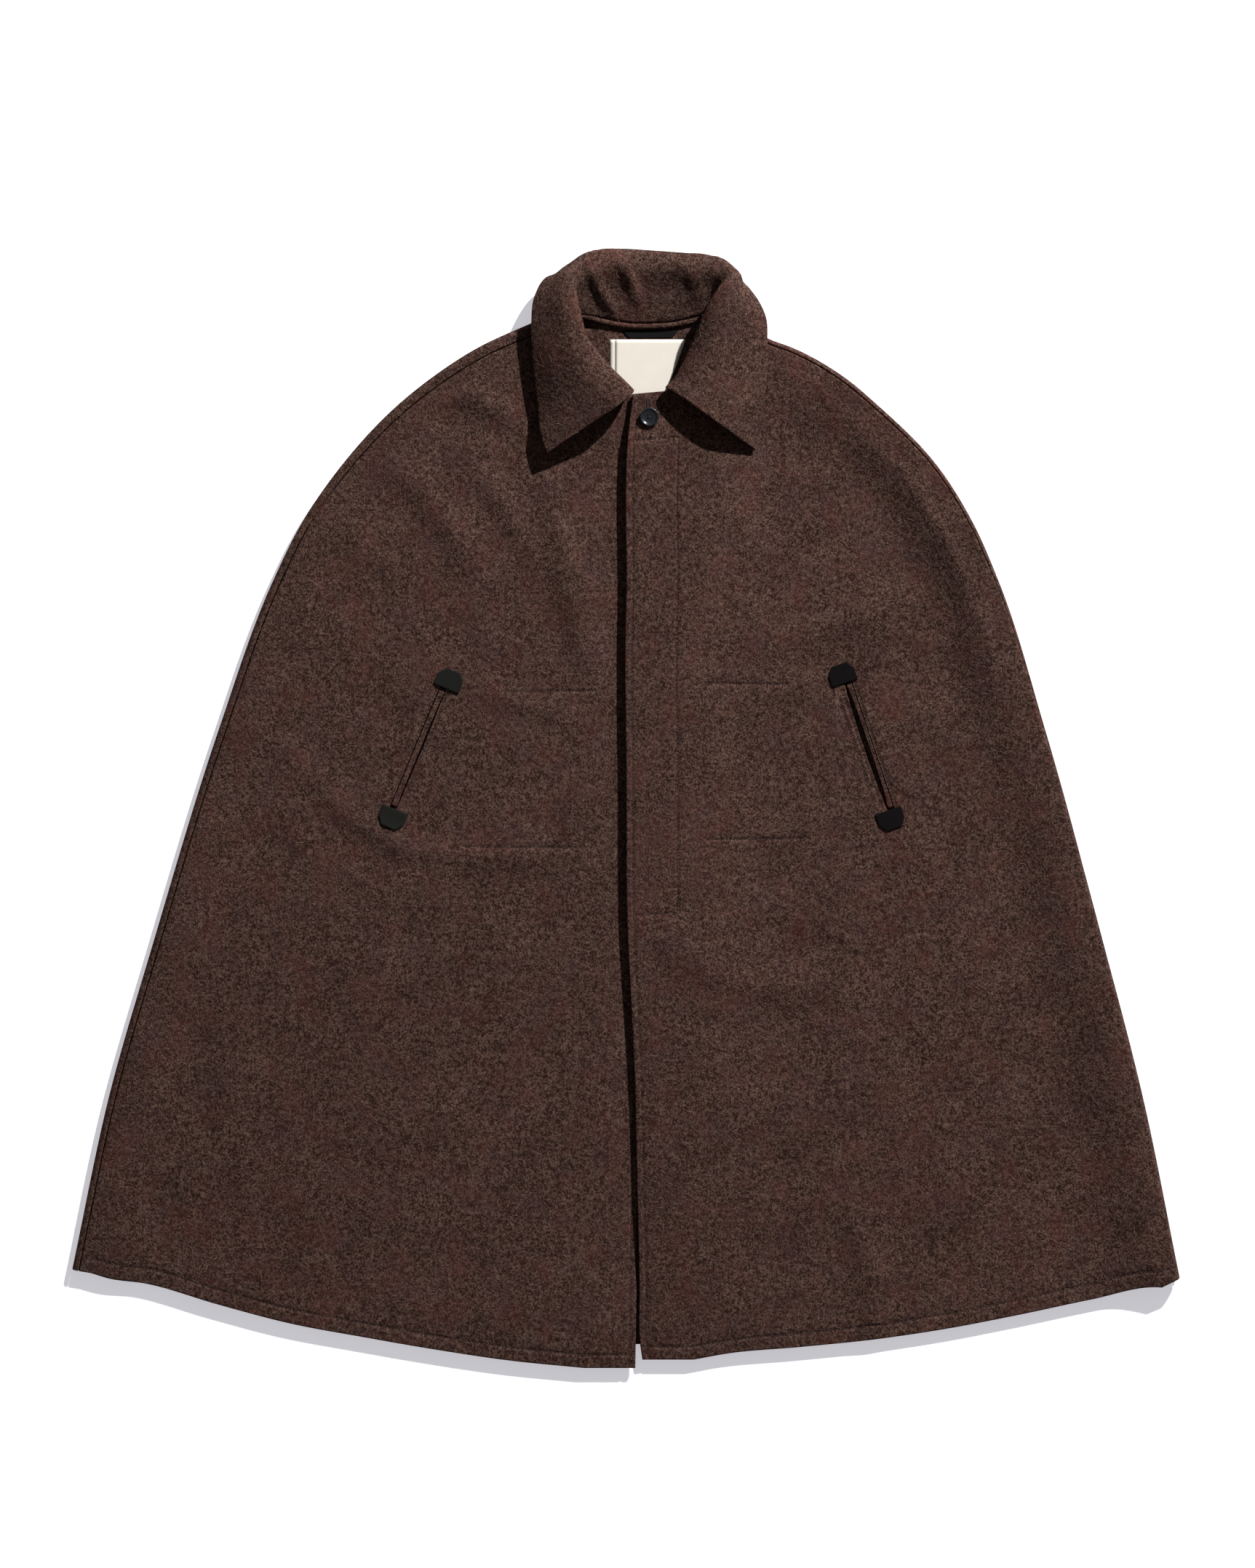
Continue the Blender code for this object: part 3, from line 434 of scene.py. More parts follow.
def coons(top, bottom, inner, outer, u, v):
    """Plan points of a panel between its four edges. u runs from inner to outer, v from top to bottom."""
    u = u[None, :, None]
    v = v[:, None, None]
    between_rows = (1 - v) * top[None] + v * bottom[None]
    between_sides = (1 - u) * inner[:, None] + u * outer[:, None]
    corners = ((1 - v) * ((1 - u) * top[0] + u * top[-1]) + v * ((1 - u) * bottom[0] + u * bottom[-1]))
    return between_rows + between_sides - corners


def slopes_along(grid, axis):
    """Direction of a grid of points along its rows or columns, where its cells may be uneven."""
    chords = np.diff(grid, axis=axis)
    lengths = np.linalg.norm(chords, axis=2)[..., None]
    ways = np.moveaxis(chords / lengths, axis, 0)
    lengths = np.moveaxis(lengths, axis, 0)
    inside = ways[:-1] * lengths[1:] + ways[1:] * lengths[:-1]
    return np.moveaxis(np.concatenate([ways[:1], inside, ways[-1:]]), 0, axis)


def normals(grid):
    """Unit normals of a grid of points, up where its columns run to +X and its rows to -Y."""
    return unit(np.cross(slopes_along(grid, 0), slopes_along(grid, 1)))


# The cut of the panels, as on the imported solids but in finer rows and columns

SIDES = {
    "right": dict(outline=SIDE_RIGHT_FRONT, edge=EDGE_RIGHT_FRONT, neck=NECK_RIGHT_FRONT,
                  hem=HEM_RIGHT_FRONT, towards=1, seam=1,
                  neck_way=(-0.30, -0.95), hem_way=(0.98, -0.17), back_way=(0.9, -0.42)),
    "left": dict(outline=SIDE_LEFT_FRONT, edge=EDGE_LEFT_FRONT, neck=NECK_LEFT_FRONT,
                 hem=HEM_LEFT_FRONT, towards=-1, seam=2,
                 neck_way=(0.10, -0.99), hem_way=(-0.90, -0.44), back_way=(-1.0, 0.1)),
}
QUARTER = math.pi * FOLD_RADIUS / 2
STRIP_END = QUARTER + STRIP - FOLD_RADIUS
EDGE_STEPS = np.array([0, 0.25, 0.6, 1.1, 1.6, 2.4])  # distances from an edge of its rounding's rows
DIP_STEPS = np.array([-3.4, -2.2, -1.3, -0.6, 0, 0.6, 1.3, 2.2, 3.4])  # rows on both sides of a seam's dip


def ridge_height(table, x, y):
    """Height that a table of soft ridges adds at plan points."""
    total = np.zeros_like(x)
    shares = np.linspace(0, 1, 25)
    for x0, y0, x1, y1, x2, y2, height, half_width in table:
        route = curve([(x0, y0), (x1, y1), (x2, y2)], shares)
        low, high = route.min(axis=0) - 3 * half_width, route.max(axis=0) + 3 * half_width
        near = (x > low[0]) & (x < high[0]) & (y > low[1]) & (y < high[1])
        distance = np.hypot(x[near][:, None] - route[:, 0], y[near][:, None] - route[:, 1])
        ends = np.sin(np.pi * np.clip(shares[distance.argmin(axis=-1)], 0.03, 0.97)) ** 0.5
        total[near] += height * ends * np.exp(-(distance.min(axis=-1) / half_width) ** 2)
    return total


def unevenness(x, y, size, height):
    """Soft random unevenness of the cloth at plan points."""
    values = [noise.noise(Vector((a / size, b / size, size))) for a, b in zip(x.ravel(), y.ravel())]
    return height * np.array(values).reshape(x.shape)


def front_height(x, y, side):
    """Height of the middle of a front's cloth at plan points, away from the rolled side."""
    small = ridge_height(CREASES, x, y)
    for size, height in UNEVENNESS:
        small = small + unevenness(x, y, size, height)
    open_height = FRONT_REST + small
    edge_x, edge_y = np.array(EDGE_LEFT_FRONT)[::-1].T
    from_edge = x - np.interp(y, edge_y, edge_x)
    if side == "right":
        pressed = smoothstep((-from_edge - PRESSED_START) / PRESSED_WIDTH)
        low = FRONT_LOW + (FRONT_HEM - FRONT_LOW) * smoothstep((OPEN_FROM - y) / OPEN_LENGTH)
        return low + (np.maximum(open_height, low) - low) * pressed
    stack = np.interp(y, *zip(*EDGE_STACK))
    return stack + (open_height - stack) * smoothstep((from_edge - FACING - PLACKET_START) / PLACKET_WIDTH)


def roll_section(q):
    """Inset from the outline and height, at a length measured round the fold from its outermost line."""
    angle = np.clip(q, -QUARTER, QUARTER) / FOLD_RADIUS
    inset = FOLD_RADIUS * (1 - np.cos(angle)) + np.maximum(np.abs(q) - QUARTER, 0)
    return inset, wall_of("cloth") / 2 + FOLD_RADIUS * (1 + np.sin(angle))


def risen(q):
    """Share of a side's lift, at a length measured round the side fold from its outermost line."""
    return smoothstep((q + QUARTER) / (2 * QUARTER))


def lifted(v, side, inset):
    """How far the wearer's-left side is lifted, by row and by distance in from the outline."""
    most = np.interp(v, *zip(*SIDE_LIFT)) * (side == "left")
    return most[:, None] * (1 - smoothstep((inset - FOLD_RADIUS) / LIFT_WIDTH))


def wall_of(kind):
    """Thickness of the cloth or of the collar."""
    cloth = bpy.context.scene.cape.cloth
    return (cloth.collar_wall if kind == "collar" else cloth.wall) / MM


def strip_directions(outline, v, towards, neck_way, hem_way):
    """Inward plan direction of each row of a side strip, of length 1 measured square to the outline."""
    along = np.gradient(outline, v, axis=0)
    square = unit(np.stack([-along[:, 1], along[:, 0]], axis=1) * towards)
    near_neck = (1 - smoothstep(v / NECK_BLEND))[:, None]
    near_hem = smoothstep((v - 1 + HEM_BLEND) / HEM_BLEND)[:, None]
    way = square * (1 - near_neck - near_hem) + near_neck * np.array(neck_way) + near_hem * np.array(hem_way)
    return way / (way * square).sum(axis=1)[:, None]


def seam_place(v, side):
    """Where the side seam lies round the fold, for rows of a panel."""
    table = np.array(SIDE_SEAMS)
    return np.interp(v, table[:, 0], table[:, SIDES[side]["seam"]])


def panel_rows(step, side=None):
    """Shares of a panel's length for its rows, closer at the neck, the hem's step and the fly's ends."""
    hem_depth = bpy.context.scene.cape.cloth.hem_depth / MM
    hem = np.concatenate([EDGE_STEPS, hem_depth + DIP_STEPS, [0.3 * hem_depth, 0.6 * hem_depth]])
    parts = [np.linspace(0, 1, int(BODY_LENGTH / step)), EDGE_STEPS / BODY_LENGTH, 1 - hem / BODY_LENGTH]
    if side == "left":
        edge = curve(EDGE_LEFT_FRONT, np.linspace(0, 1, 400))
        for end in FLY_ENDS:
            share = np.interp(-end, -edge[:, 1], np.linspace(0, 1, 400))
            parts.append(share + DIP_STEPS / measured(edge)[-1])
    return merged(*parts, least=0.2 / BODY_LENGTH)


def edge_columns():
    """Distances of a front's columns from its front edge, as far as its facing reaches."""
    inset = bpy.context.scene.cape.stitching.inset / MM
    even = np.arange(COLUMN_START, FACING, COLUMN_STEP)
    return merged(EDGE_STEPS, inset + DIP_STEPS, even, FACING + DIP_STEPS[:5])[:-1]


def front_grid(side, v, step):
    """The middle of a front's cloth as rows of points from its front edge to its side seam."""
    cut = SIDES[side]
    outline = curve(cut["outline"], v)
    way = strip_directions(outline, v, cut["towards"], cut["neck_way"], cut["hem_way"])
    strip_start = outline + way * STRIP
    edge = curve(cut["edge"], v)
    facing_line = np.array(cut["edge"], float) + (FACING * -cut["towards"], 0)
    facing_line[0] = cut["neck"][0]
    facing_inner = curve(facing_line, v)
    widest = np.linalg.norm(strip_start - facing_inner, axis=1).max()
    u = merged(np.linspace(0, 1, int(widest / step)), DIP_STEPS[4:] / widest, least=0.4 / widest)
    neck = curve([facing_inner[0], *cut["neck"][1:], strip_start[0]], u)
    hem = curve([facing_inner[-1], *cut["hem"][1:], strip_start[-1]], u)
    panel = coons(neck, hem, facing_inner, strip_start, u, v)
    shares = edge_columns()[None, :, None] / FACING
    placket = edge[:, None] * (1 - shares) + facing_inner[:, None] * shares
    plan = np.concatenate([placket, panel], axis=1)
    height = front_height(plan[..., 0], plan[..., 1], side)
    inset = STRIP + np.linalg.norm(plan - strip_start[:, None], axis=2)
    top = roll_section(STRIP_END)[1]
    hem_rise = smoothstep((v - HEM_RISE[0]) / HEM_RISE[1])[:, None] * np.maximum(FRONT_HEM - height, 0)
    height = top + (height + hem_rise - top) * smoothstep((inset - STRIP) / SOFT)
    folds = ridge_height(FOLDS, plan[..., 0], plan[..., 1])
    from_edge = np.linalg.norm(plan - edge[:, None], axis=2)
    free = smoothstep((from_edge - PRESSED_START) / PRESSED_WIDTH) if side == "right" else 1
    height += folds * smoothstep((inset - STRIP) / FOLD_REACH) * free + lifted(v, side, inset)
    seam = seam_place(v, side) + SEAM_GAP / 2
    first = np.maximum(QUARTER, seam - SEAM_GAP / 2 + 3)
    shares = np.linspace(0, 1, FRONT_ROLL - len(EDGE_STEPS) + 1)
    q = first[:, None] + (seam + EDGE_STEPS[-1] - first)[:, None] * shares
    q = np.concatenate([q[:, :-1], seam[:, None] + EDGE_STEPS[::-1]], axis=1)
    inset, roll_height = roll_section(q)
    roll_height += lifted(v, side, inset) * risen(q)
    strip = outline[:, None] + way[:, None] * inset[..., None]
    middle = np.concatenate([plan, strip], axis=1)
    return np.concatenate([middle, np.concatenate([height, roll_height], axis=1)[..., None]], axis=2)


def back_strip(side, v):
    """The back's band along one side, from the side seam round the fold to the flat."""
    cut = SIDES[side]
    outline = curve(cut["outline"], v)
    top_way = strip_directions(outline, v, cut["towards"], cut["neck_way"], cut["hem_way"])
    flat_way = strip_directions(outline, v, cut["towards"], cut["back_way"], cut["hem_way"])
    seam = seam_place(v, side) - SEAM_GAP / 2
    shares = np.linspace(0, 1, BACK_ROLL - len(EDGE_STEPS))
    q = (seam - EDGE_STEPS[-1])[:, None] + (-QUARTER - seam + EDGE_STEPS[-1])[:, None] * shares
    q = np.concatenate([seam[:, None] - EDGE_STEPS[:-1], q, np.full((len(v), 1), -STRIP_END)], axis=1)
    inset, height = roll_section(q)
    height += lifted(v, side, inset) * risen(q)
    turned = np.clip((QUARTER - q) / (2 * QUARTER), 0, 1)[..., None]
    way = top_way[:, None] * (1 - turned) + flat_way[:, None] * turned
    plan = outline[:, None] + way * inset[..., None]
    return np.append(plan, height[..., None], axis=2)


def back_grid(v, step):
    """The middle of the back's cloth, from the right front's seam round to the left front's."""
    right, left = back_strip("right", v), back_strip("left", v)
    u = np.linspace(0, 1, int(2 * STRIP + BODY_LENGTH / step))
    neck = curve([right[0, -1, :2], *NECK_BACK[1:-1], left[0, -1, :2]], u)
    hem = curve([right[-1, -1, :2], *HEM_BACK, left[-1, -1, :2]], u)
    plan = coons(neck, hem, right[:, -1, :2], left[:, -1, :2], u, v)[:, 1:-1]
    flat = np.append(plan, np.full(plan.shape[:2] + (1,), wall_of("cloth") / 2), axis=2)
    return np.concatenate([right, flat, left[:, ::-1]], axis=1)


def rounded(distance):
    """Share of the wall's half thickness that is left at a distance from a rounded edge."""
    radius = bpy.context.scene.cape.cloth.edge_radius / MM
    return np.sqrt(np.clip(1 - (1 - np.clip(distance / radius, 0, 1)) ** 2, 0.04, 1))


def dip(distance):
    """How far a row of stitches pulls the surface in at a distance from it."""
    return bpy.context.scene.cape.stitching.dip / MM * np.exp(-(distance / DIP_WIDTH) ** 2)


def hem_layer(v, strip_first, columns):
    """Thickness that the turned-up hem adds under a panel, by row and column, none round the side fold."""
    cloth = bpy.context.scene.cape.cloth
    depth = cloth.hem_depth / MM / BODY_LENGTH
    rows = np.clip((v - 1 + (1 + HEM_FADE) * depth) / (HEM_FADE * depth), 0, 1)
    across = (np.arange(columns) < strip_first).astype(float)
    return cloth.hem_extra / MM * rows[:, None] * across[None]


# Making closed walls from grids of points

def shell(upper, lower, flip=False):
    """Closed shape between two grids of points: its two faces and the strip round its edge."""
    rows, columns = upper.shape[:2]
    index = np.arange(rows * columns).reshape(rows, columns)
    cells = np.stack([index[:-1, :-1], index[1:, :-1], index[1:, 1:], index[:-1, 1:]], axis=-1)
    cells = cells.reshape(-1, 4)
    rim = np.concatenate([index[:-1, 0], index[-1, :-1], index[:0:-1, -1], index[0, :0:-1]])
    if flip:
        cells = cells[:, ::-1]
        rim = rim[::-1]
    far = rows * columns
    faces = cells.tolist() + (cells[:, ::-1] + far).tolist()
    faces += [[a, a + far, b + far, b] for a, b in zip(rim.tolist(), np.roll(rim, -1).tolist())]
    return np.concatenate([upper.reshape(-1, 3), lower.reshape(-1, 3)]), faces


def wall_faces(grid, up, down, flip=False):
    """The upper and lower points of a wall over a grid of its middle. up and down are thicknesses."""
    out = normals(grid) * (-1 if flip else 1)
    upper = grid + out * np.broadcast_to(up, grid.shape[:2])[..., None]
    lower = grid - out * np.broadcast_to(down, grid.shape[:2])[..., None]
    return upper, lower


def add_mesh(name, points, faces, finish):
    """Makes a smooth object of points in millimetres and faces, at the origin, on the cape's body."""
    mesh = bpy.data.meshes.new(name)
    mesh.from_pydata((np.asarray(points) * MM).tolist(), [], faces)
    mesh.materials.append(finish)
    mesh.shade_smooth()
    piece = bpy.data.objects.new(name, mesh)
    bpy.context.scene.collection.objects.link(piece)
    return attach(piece, "root")


def hand_over(piece, node):
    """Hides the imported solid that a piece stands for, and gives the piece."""
    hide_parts(node)
    return piece


def surface_tree(*names):
    """A search tree over the faces of finished pieces, in millimetres."""
    points, faces = [], []
    for name in names:
        mesh = bpy.data.objects[name].data
        co = np.zeros(len(mesh.vertices) * 3)
        mesh.vertices.foreach_get("co", co)
        first = len(points)
        points.extend((co.reshape(-1, 3) / MM).tolist())
        faces.extend([first + k for k in face.vertices] for face in mesh.polygons)
    return BVHTree.FromPolygons(points, faces)


def hit_below(tree, x, y):
    """The uppermost surface point at a plan point, or None."""
    return tree.ray_cast(Vector((x, y, RAY_START)), Vector((0, 0, -1)))[0]


def top_of(tree, x, y):
    """Height of the uppermost surface at a plan point."""
    hit = hit_below(tree, x, y)
    if hit is None:
        raise ValueError("nothing lies at %.1f, %.1f" % (x, y))
    return hit.z


def highest_near(tree, x, y, around):
    """Height of the uppermost surface at and near a plan point."""
    places = ((0, 0), (around, 0), (-around, 0), (0, around), (0, -around))
    hits = [hit_below(tree, x + dx, y + dy) for dx, dy in places]
    return max(hit.z for hit in hits if hit is not None)


# Materials

class Number:
    """One value of a shader. Arithmetic on it adds the Math nodes."""

    def __init__(self, shader, socket):
        self.shader = shader
        self.socket = socket

    def __add__(self, other):
        return self.shader.maths("ADD", self, other)

    __radd__ = __add__

    def __sub__(self, other):
        return self.shader.maths("SUBTRACT", self, other)

    def __rsub__(self, other):
        return self.shader.maths("SUBTRACT", other, self)

    def __mul__(self, other):
        return self.shader.maths("MULTIPLY", self, other)

    __rmul__ = __mul__

    def size(self):
        """The value without its sign."""
        return self.shader.maths("ABSOLUTE", self, 0)

    def clamped(self):
        """The value kept between 0 and 1."""
        return self.shader.maths("MINIMUM", self.shader.maths("MAXIMUM", self, 0), 1)


class Shader:
    """A new material and the nodes that lead to its surface."""

    def __init__(self, name):
        self.material = bpy.data.materials.new(name)
        self.material.use_nodes = True
        self.tree = self.material.node_tree
        self.surface = self.tree.nodes["Principled BSDF"]
        self.place = self.node("ShaderNodeTexCoord", {}, {}, "Object")

    def node(self, kind, settings, inputs, output=0):
        """Adds a node: its type, then its settings, then its inputs. Gives one of its outputs."""
        made = self.tree.nodes.new(kind)
        for key, value in settings.items():
            setattr(made, key, value)
        for key, value in inputs.items():
            self.feed(made.inputs[key], value)
        return Number(self, made.outputs[output])

    def feed(self, socket, value):
        """Links or sets an input."""
        if isinstance(value, Number):
            self.tree.links.new(value.socket, socket)
        elif hasattr(value, "__len__") and len(value) == 3 and socket.type == "RGBA":
            socket.default_value = (*value, 1)
        else:
            socket.default_value = value

    def maths(self, operation, first, second):
        """A Math node over two values."""
        return self.node("ShaderNodeMath", {"operation": operation}, {0: first, 1: second})

    def stretched(self, across, along, height=1.0):
        """The object's coordinates, multiplied by a factor on each axis."""
        scale = (across, along, height)
        return self.node("ShaderNodeVectorMath", {"operation": "MULTIPLY"}, {0: self.place, 1: scale})

    def grain(self, scale, detail=2.0, roughness=0.5, at=None):
        """Noise between 0 and 1 with features of about 1 / scale metres."""
        inputs = {"Vector": at or self.place, "Scale": scale, "Detail": detail, "Roughness": roughness}
        return self.node("ShaderNodeTexNoise", {}, inputs)

    def mixed(self, share, first, second):
        """A colour between two others."""
        settings = {"data_type": "RGBA"}
        return self.node("ShaderNodeMix", settings, {0: share, 6: first, 7: second}, 2)

    def dimmed(self, colour, share):
        """A colour multiplied by a value."""
        grey = self.node("ShaderNodeCombineColor", {}, {0: share, 1: share, 2: share})
        settings = {"data_type": "RGBA", "blend_type": "MULTIPLY"}
        return self.node("ShaderNodeMix", settings, {0: 1.0, 6: colour, 7: grey}, 2)

    def finish(self, colour, roughness, bump=None, depth=0.0005, strength=0.5, **constants):
        """Sets the surface and gives the material."""
        self.feed(self.surface.inputs["Base Color"], colour)
        self.feed(self.surface.inputs["Roughness"], roughness)
        if bump is not None:
            inputs = {"Height": bump, "Distance": depth, "Strength": strength}
            self.feed(self.surface.inputs["Normal"], self.node("ShaderNodeBump", {}, inputs))
        for key, value in constants.items():
            self.surface.inputs[key.replace("_", " ")].default_value = value
        return self.material


def colours():
    """The colour settings."""
    return bpy.context.scene.cape.colours


def wool():
    """Heathered brown wool with light fibres and reddish and plum patches."""
    made = bpy.data.materials.get("heathered_wool")
    if made:
        return made
    shader = Shader("heathered_wool")
    fibre = shader.grain(560, 2, 0.6, shader.stretched(1, 0.8))
    tuft = shader.grain(190, 2)
    patch = shader.grain(30, 3)
    plum = shader.grain(38, 2)
    mottle = shader.grain(21, 1)
    curl = (1 - (shader.grain(330, 1) - 0.5).size() * 17).clamped()
    curl = curl * ((shader.grain(260, 1) - 0.47) * 7).clamped()
    light = (0.235 + (fibre - 0.5) * 2.3 + (tuft - 0.5) * 1.0 + curl * 0.6).clamped()
    colour = shader.mixed(light, colours().wool_dark, colours().wool_light)
    colour = shader.mixed(((patch - 0.5) * 5).clamped() * 0.34, colour, colours().wool_red)
    colour = shader.mixed(((plum - 0.5) * 3).clamped() * 0.4, colour, colours().wool_plum)
    colour = shader.dimmed(colour, 0.72 + mottle * 0.5)
    relief = fibre * 0.7 + tuft * 0.6 + curl * 0.1
    return shader.finish(colour, 0.95, relief, 0.0012, 0.7, Specular_IOR_Level=0.04)


def plain(name, colour, roughness, relief, depth, **constants):
    """A finish of one colour that varies a little, over a fine relief."""
    made = bpy.data.materials.get(name)
    if made:
        return made
    shader = Shader(name)
    grain = shader.grain(relief, 3)
    varied = shader.dimmed(colour, 0.7 + grain * 0.6)
    return shader.finish(varied, roughness, grain, depth, 0.6, **constants)


def woven(name, colour):
    """A smooth woven label with fine threads across it."""
    made = bpy.data.materials.get(name)
    if made:
        return made
    shader = Shader(name)
    inputs = {"Vector": shader.place, "Scale": 520.0, "Distortion": 0.6}
    threads = shader.node("ShaderNodeTexWave", {"bands_direction": "Y"}, inputs)
    cloudy = shader.grain(60, 2)
    shade = shader.dimmed(colour, 0.9 + threads * 0.06 + cloudy * 0.1)
    return shader.finish(shade, 0.8, threads, 0.0001, 0.4, Specular_IOR_Level=0.1)


# Cloth pieces

def front_walls(side):
    """A front's grid, the thicknesses of its wall above and below the middle, and the shares of its rows."""
    cloth = bpy.context.scene.cape.cloth
    stitching = bpy.context.scene.cape.stitching
    v = panel_rows(cloth.cell / MM, side)
    grid = front_grid(side, v, cloth.cell / MM)
    half = wall_of("cloth") / 2
    columns = grid.shape[1]
    near_edge = edge_columns()
    count = len(near_edge)
    beside = np.full(columns, FAR)
    beside[:count] = near_edge
    beside[count:count + 5] = FACING + DIP_STEPS[4:]
    from_seam = np.full(columns, FAR)
    from_seam[-len(EDGE_STEPS):] = EDGE_STEPS[::-1]
    top, bottom = v * BODY_LENGTH, (1 - v) * BODY_LENGTH
    share = rounded(beside)[None] * rounded(from_seam)[None] * (rounded(top) * rounded(bottom))[:, None]
    edge_groove, hem_groove = dip(beside - stitching.inset / MM), dip(bottom - cloth.hem_depth / MM)
    groove = np.maximum(edge_groove[None], hem_groove[:, None])
    groove[:, -FRONT_ROLL:] = 0
    if side == "left":
        y = grid[:, 0, 1]
        within = (y < FLY_ENDS[1]) & (y > FLY_ENDS[0])
        groove = np.maximum(groove, dip((beside - FACING) * FLY_SPREAD)[None] * within[:, None])
        ends = np.maximum(dip(y - FLY_ENDS[0]), dip(y - FLY_ENDS[1]))[:, None]
        groove = np.maximum(groove, ends * (beside <= FACING)[None] * (beside >= stitching.inset / MM)[None])
    extra = hem_layer(v, columns - FRONT_ROLL - 1, columns)
    return grid, half * share - groove * np.minimum(share, 1), half * share + extra * share, v


def slit_frame(side):
    """Both ends of a slit and the plan directions along it and out towards the side."""
    top, bottom = np.array([SLITS[side]["top"], SLITS[side]["bottom"]], float)
    along = unit(bottom - top)
    return top, bottom, along, np.array([-along[1], along[0]]) * (-1 if side == "right" else 1)


def slit_lines(side, shares):
    """Plan points along a slit: its inner lip, the welt's inner and outer lines and the outer lip."""
    slit = SLITS[side]
    top, bottom, _, outward = slit_frame(side)
    opened = (0.15 + 0.85 * np.sin(np.pi * shares) ** 0.7)[:, None] * outward * slit["gap"] / 2
    spine = top + np.outer(shares, bottom - top)
    welt_edge = spine + outward * (slit["gap"] / 2 + slit["welt"])
    return spine - opened, spine + opened, welt_edge, welt_edge + outward * WELT_GAP


def cut_slit(front, side):
    """Cuts a front for its hand slit with finer cells round it, and rounds the upper lips."""
    inner, _, _, outer = slit_lines(side, np.linspace(0, 1, 33))
    middle = (inner + outer) / 2
    with editing(front) as shape:
        near = [edge for edge in shape.edges
                if min(math.dist(edge.verts[0].co[:2], p * MM) for p in middle[::4]) < SLIT_REACH * MM]
        bmesh.ops.subdivide_edges(shape, edges=near, cuts=2, use_grid_fill=True)
    ring = np.concatenate([inner, outer[::-1]])
    count = len(ring)
    points = [(*p, z) for z in CUTTER_ENDS for p in ring]
    faces = [list(range(count)), list(range(count, 2 * count))]
    faces += [[k, (k + 1) % count, count + (k + 1) % count, count + k] for k in range(count)]
    cutter = add_mesh("slit_cutter", points, faces, wool())
    turn_outwards(cutter)
    cut = front.modifiers.new("slit", "BOOLEAN")
    cut.operation = "DIFFERENCE"
    cut.solver = "EXACT"
    cut.object = cutter
    apply_modifiers(front)
    bpy.data.objects.remove(cutter)
    lips = np.concatenate([inner, outer]) * MM
    for vertex in front.data.vertices:
        if vertex.normal.z > FACES_UP and abs(vertex.co.x - lips[:, 0].mean()) < LIP_SEARCH * MM:
            gap = np.hypot(*(lips - vertex.co[:2]).T).min() / MM
            if gap < LIP_WIDTH:
                vertex.co.z -= LIP_DROP * (1 - gap / LIP_WIDTH) ** 2 * MM


def sewn_rows(side):
    """Straight rows that are sewn through a front, as pairs of plan points: pocket rows, slit rows."""
    pocket = [[(x0, y0), (x1, y1)] for at, x0, y0, x1, y1 in POCKET_ROWS if at == side]
    top, bottom, _, outward = slit_frame(side)
    beside = [[top + (bottom - top) * share + outward * offset for share in (first, last)]
              for at, offset, first, last in SLIT_ROWS if at == side]
    return pocket, beside


def from_row(points, start, end):
    """Distances of plan points from a straight row."""
    start, way = np.array(start, float), np.array(end, float) - start
    share = np.clip((points - start) @ way / (way @ way), 0, 1)
    return np.linalg.norm(points - start - share[:, None] * way, axis=1)


def press_rows(front, side):
    """Pulls the upper face of a front in along its straight sewn rows, in finer cells by the pocket rows."""
    pocket, beside = sewn_rows(side)
    with editing(front) as shape:
        shape.verts.ensure_lookup_table()
        plan = np.array([vertex.co[:2] for vertex in shape.verts]) / MM
        close = np.min([from_row(plan, *row) for row in pocket], axis=0) < ROW_REACH
        edges = [edge for edge in shape.edges if close[edge.verts[0].index] and close[edge.verts[1].index]]
        bmesh.ops.subdivide_edges(shape, edges=edges, cuts=3, use_grid_fill=True)
    plan = np.array([vertex.co[:2] for vertex in front.data.vertices]) / MM
    facing_up = np.array([vertex.normal.z for vertex in front.data.vertices]) > FACES_UP
    distance = np.min([from_row(plan, *row) for row in pocket + beside], axis=0)
    depth = ROW_DIP * np.exp(-(distance / ROW_WIDTH) ** 2)
    for k in np.nonzero(facing_up & (depth > 0.02))[0]:
        front.data.vertices[k].co.z -= depth[k] * MM


@contextmanager
def editing(piece):
    """The mesh of a piece as a shape to edit, which is written back at the end."""
    shape = bmesh.new()
    shape.from_mesh(piece.data)
    yield shape
    shape.to_mesh(piece.data)
    shape.free()


def turn_outwards(piece):
    """Turns all faces of a closed piece outwards."""
    with editing(piece) as shape:
        bmesh.ops.recalc_face_normals(shape, faces=shape.faces)


def pick(piece):
    """Makes a piece the only selected and the active one."""
    for other in bpy.context.selected_objects:
        other.select_set(False)
    bpy.context.view_layer.objects.active = piece
    piece.select_set(True)


def apply_modifiers(piece):
    """Applies all modifiers of a piece."""
    pick(piece)
    for modifier in list(piece.modifiers):
        bpy.ops.object.modifier_apply(modifier=modifier.name)


def thin_rim(shape, least):
    """Share of a flat piece's thickness by row and column, thinner along its rim."""
    share = np.ones(shape)
    share[[0, -1]] = least
    share[:, [0, -1]] = least
    return share


def laid_on(name, plan, tree, height, finish, rise):
    """A flat piece that follows what it lies on, made from a grid of plan points and set rise above it."""
    rest = [[highest_near(tree, x, y, WELT_REACH) + rise + height / 2 for x, y in row] for row in plan]
    grid = np.append(plan, np.array(rest)[..., None], axis=2)
    reach = thin_rim(grid.shape[:2], 0.45)[..., None] * (0, 0, height / 2)
    turn = np.cross(plan[1, 0] - plan[0, 0], plan[0, 1] - plan[0, 0])
    return add_mesh(name, *shell(grid + reach, grid - reach, turn < 0), finish)


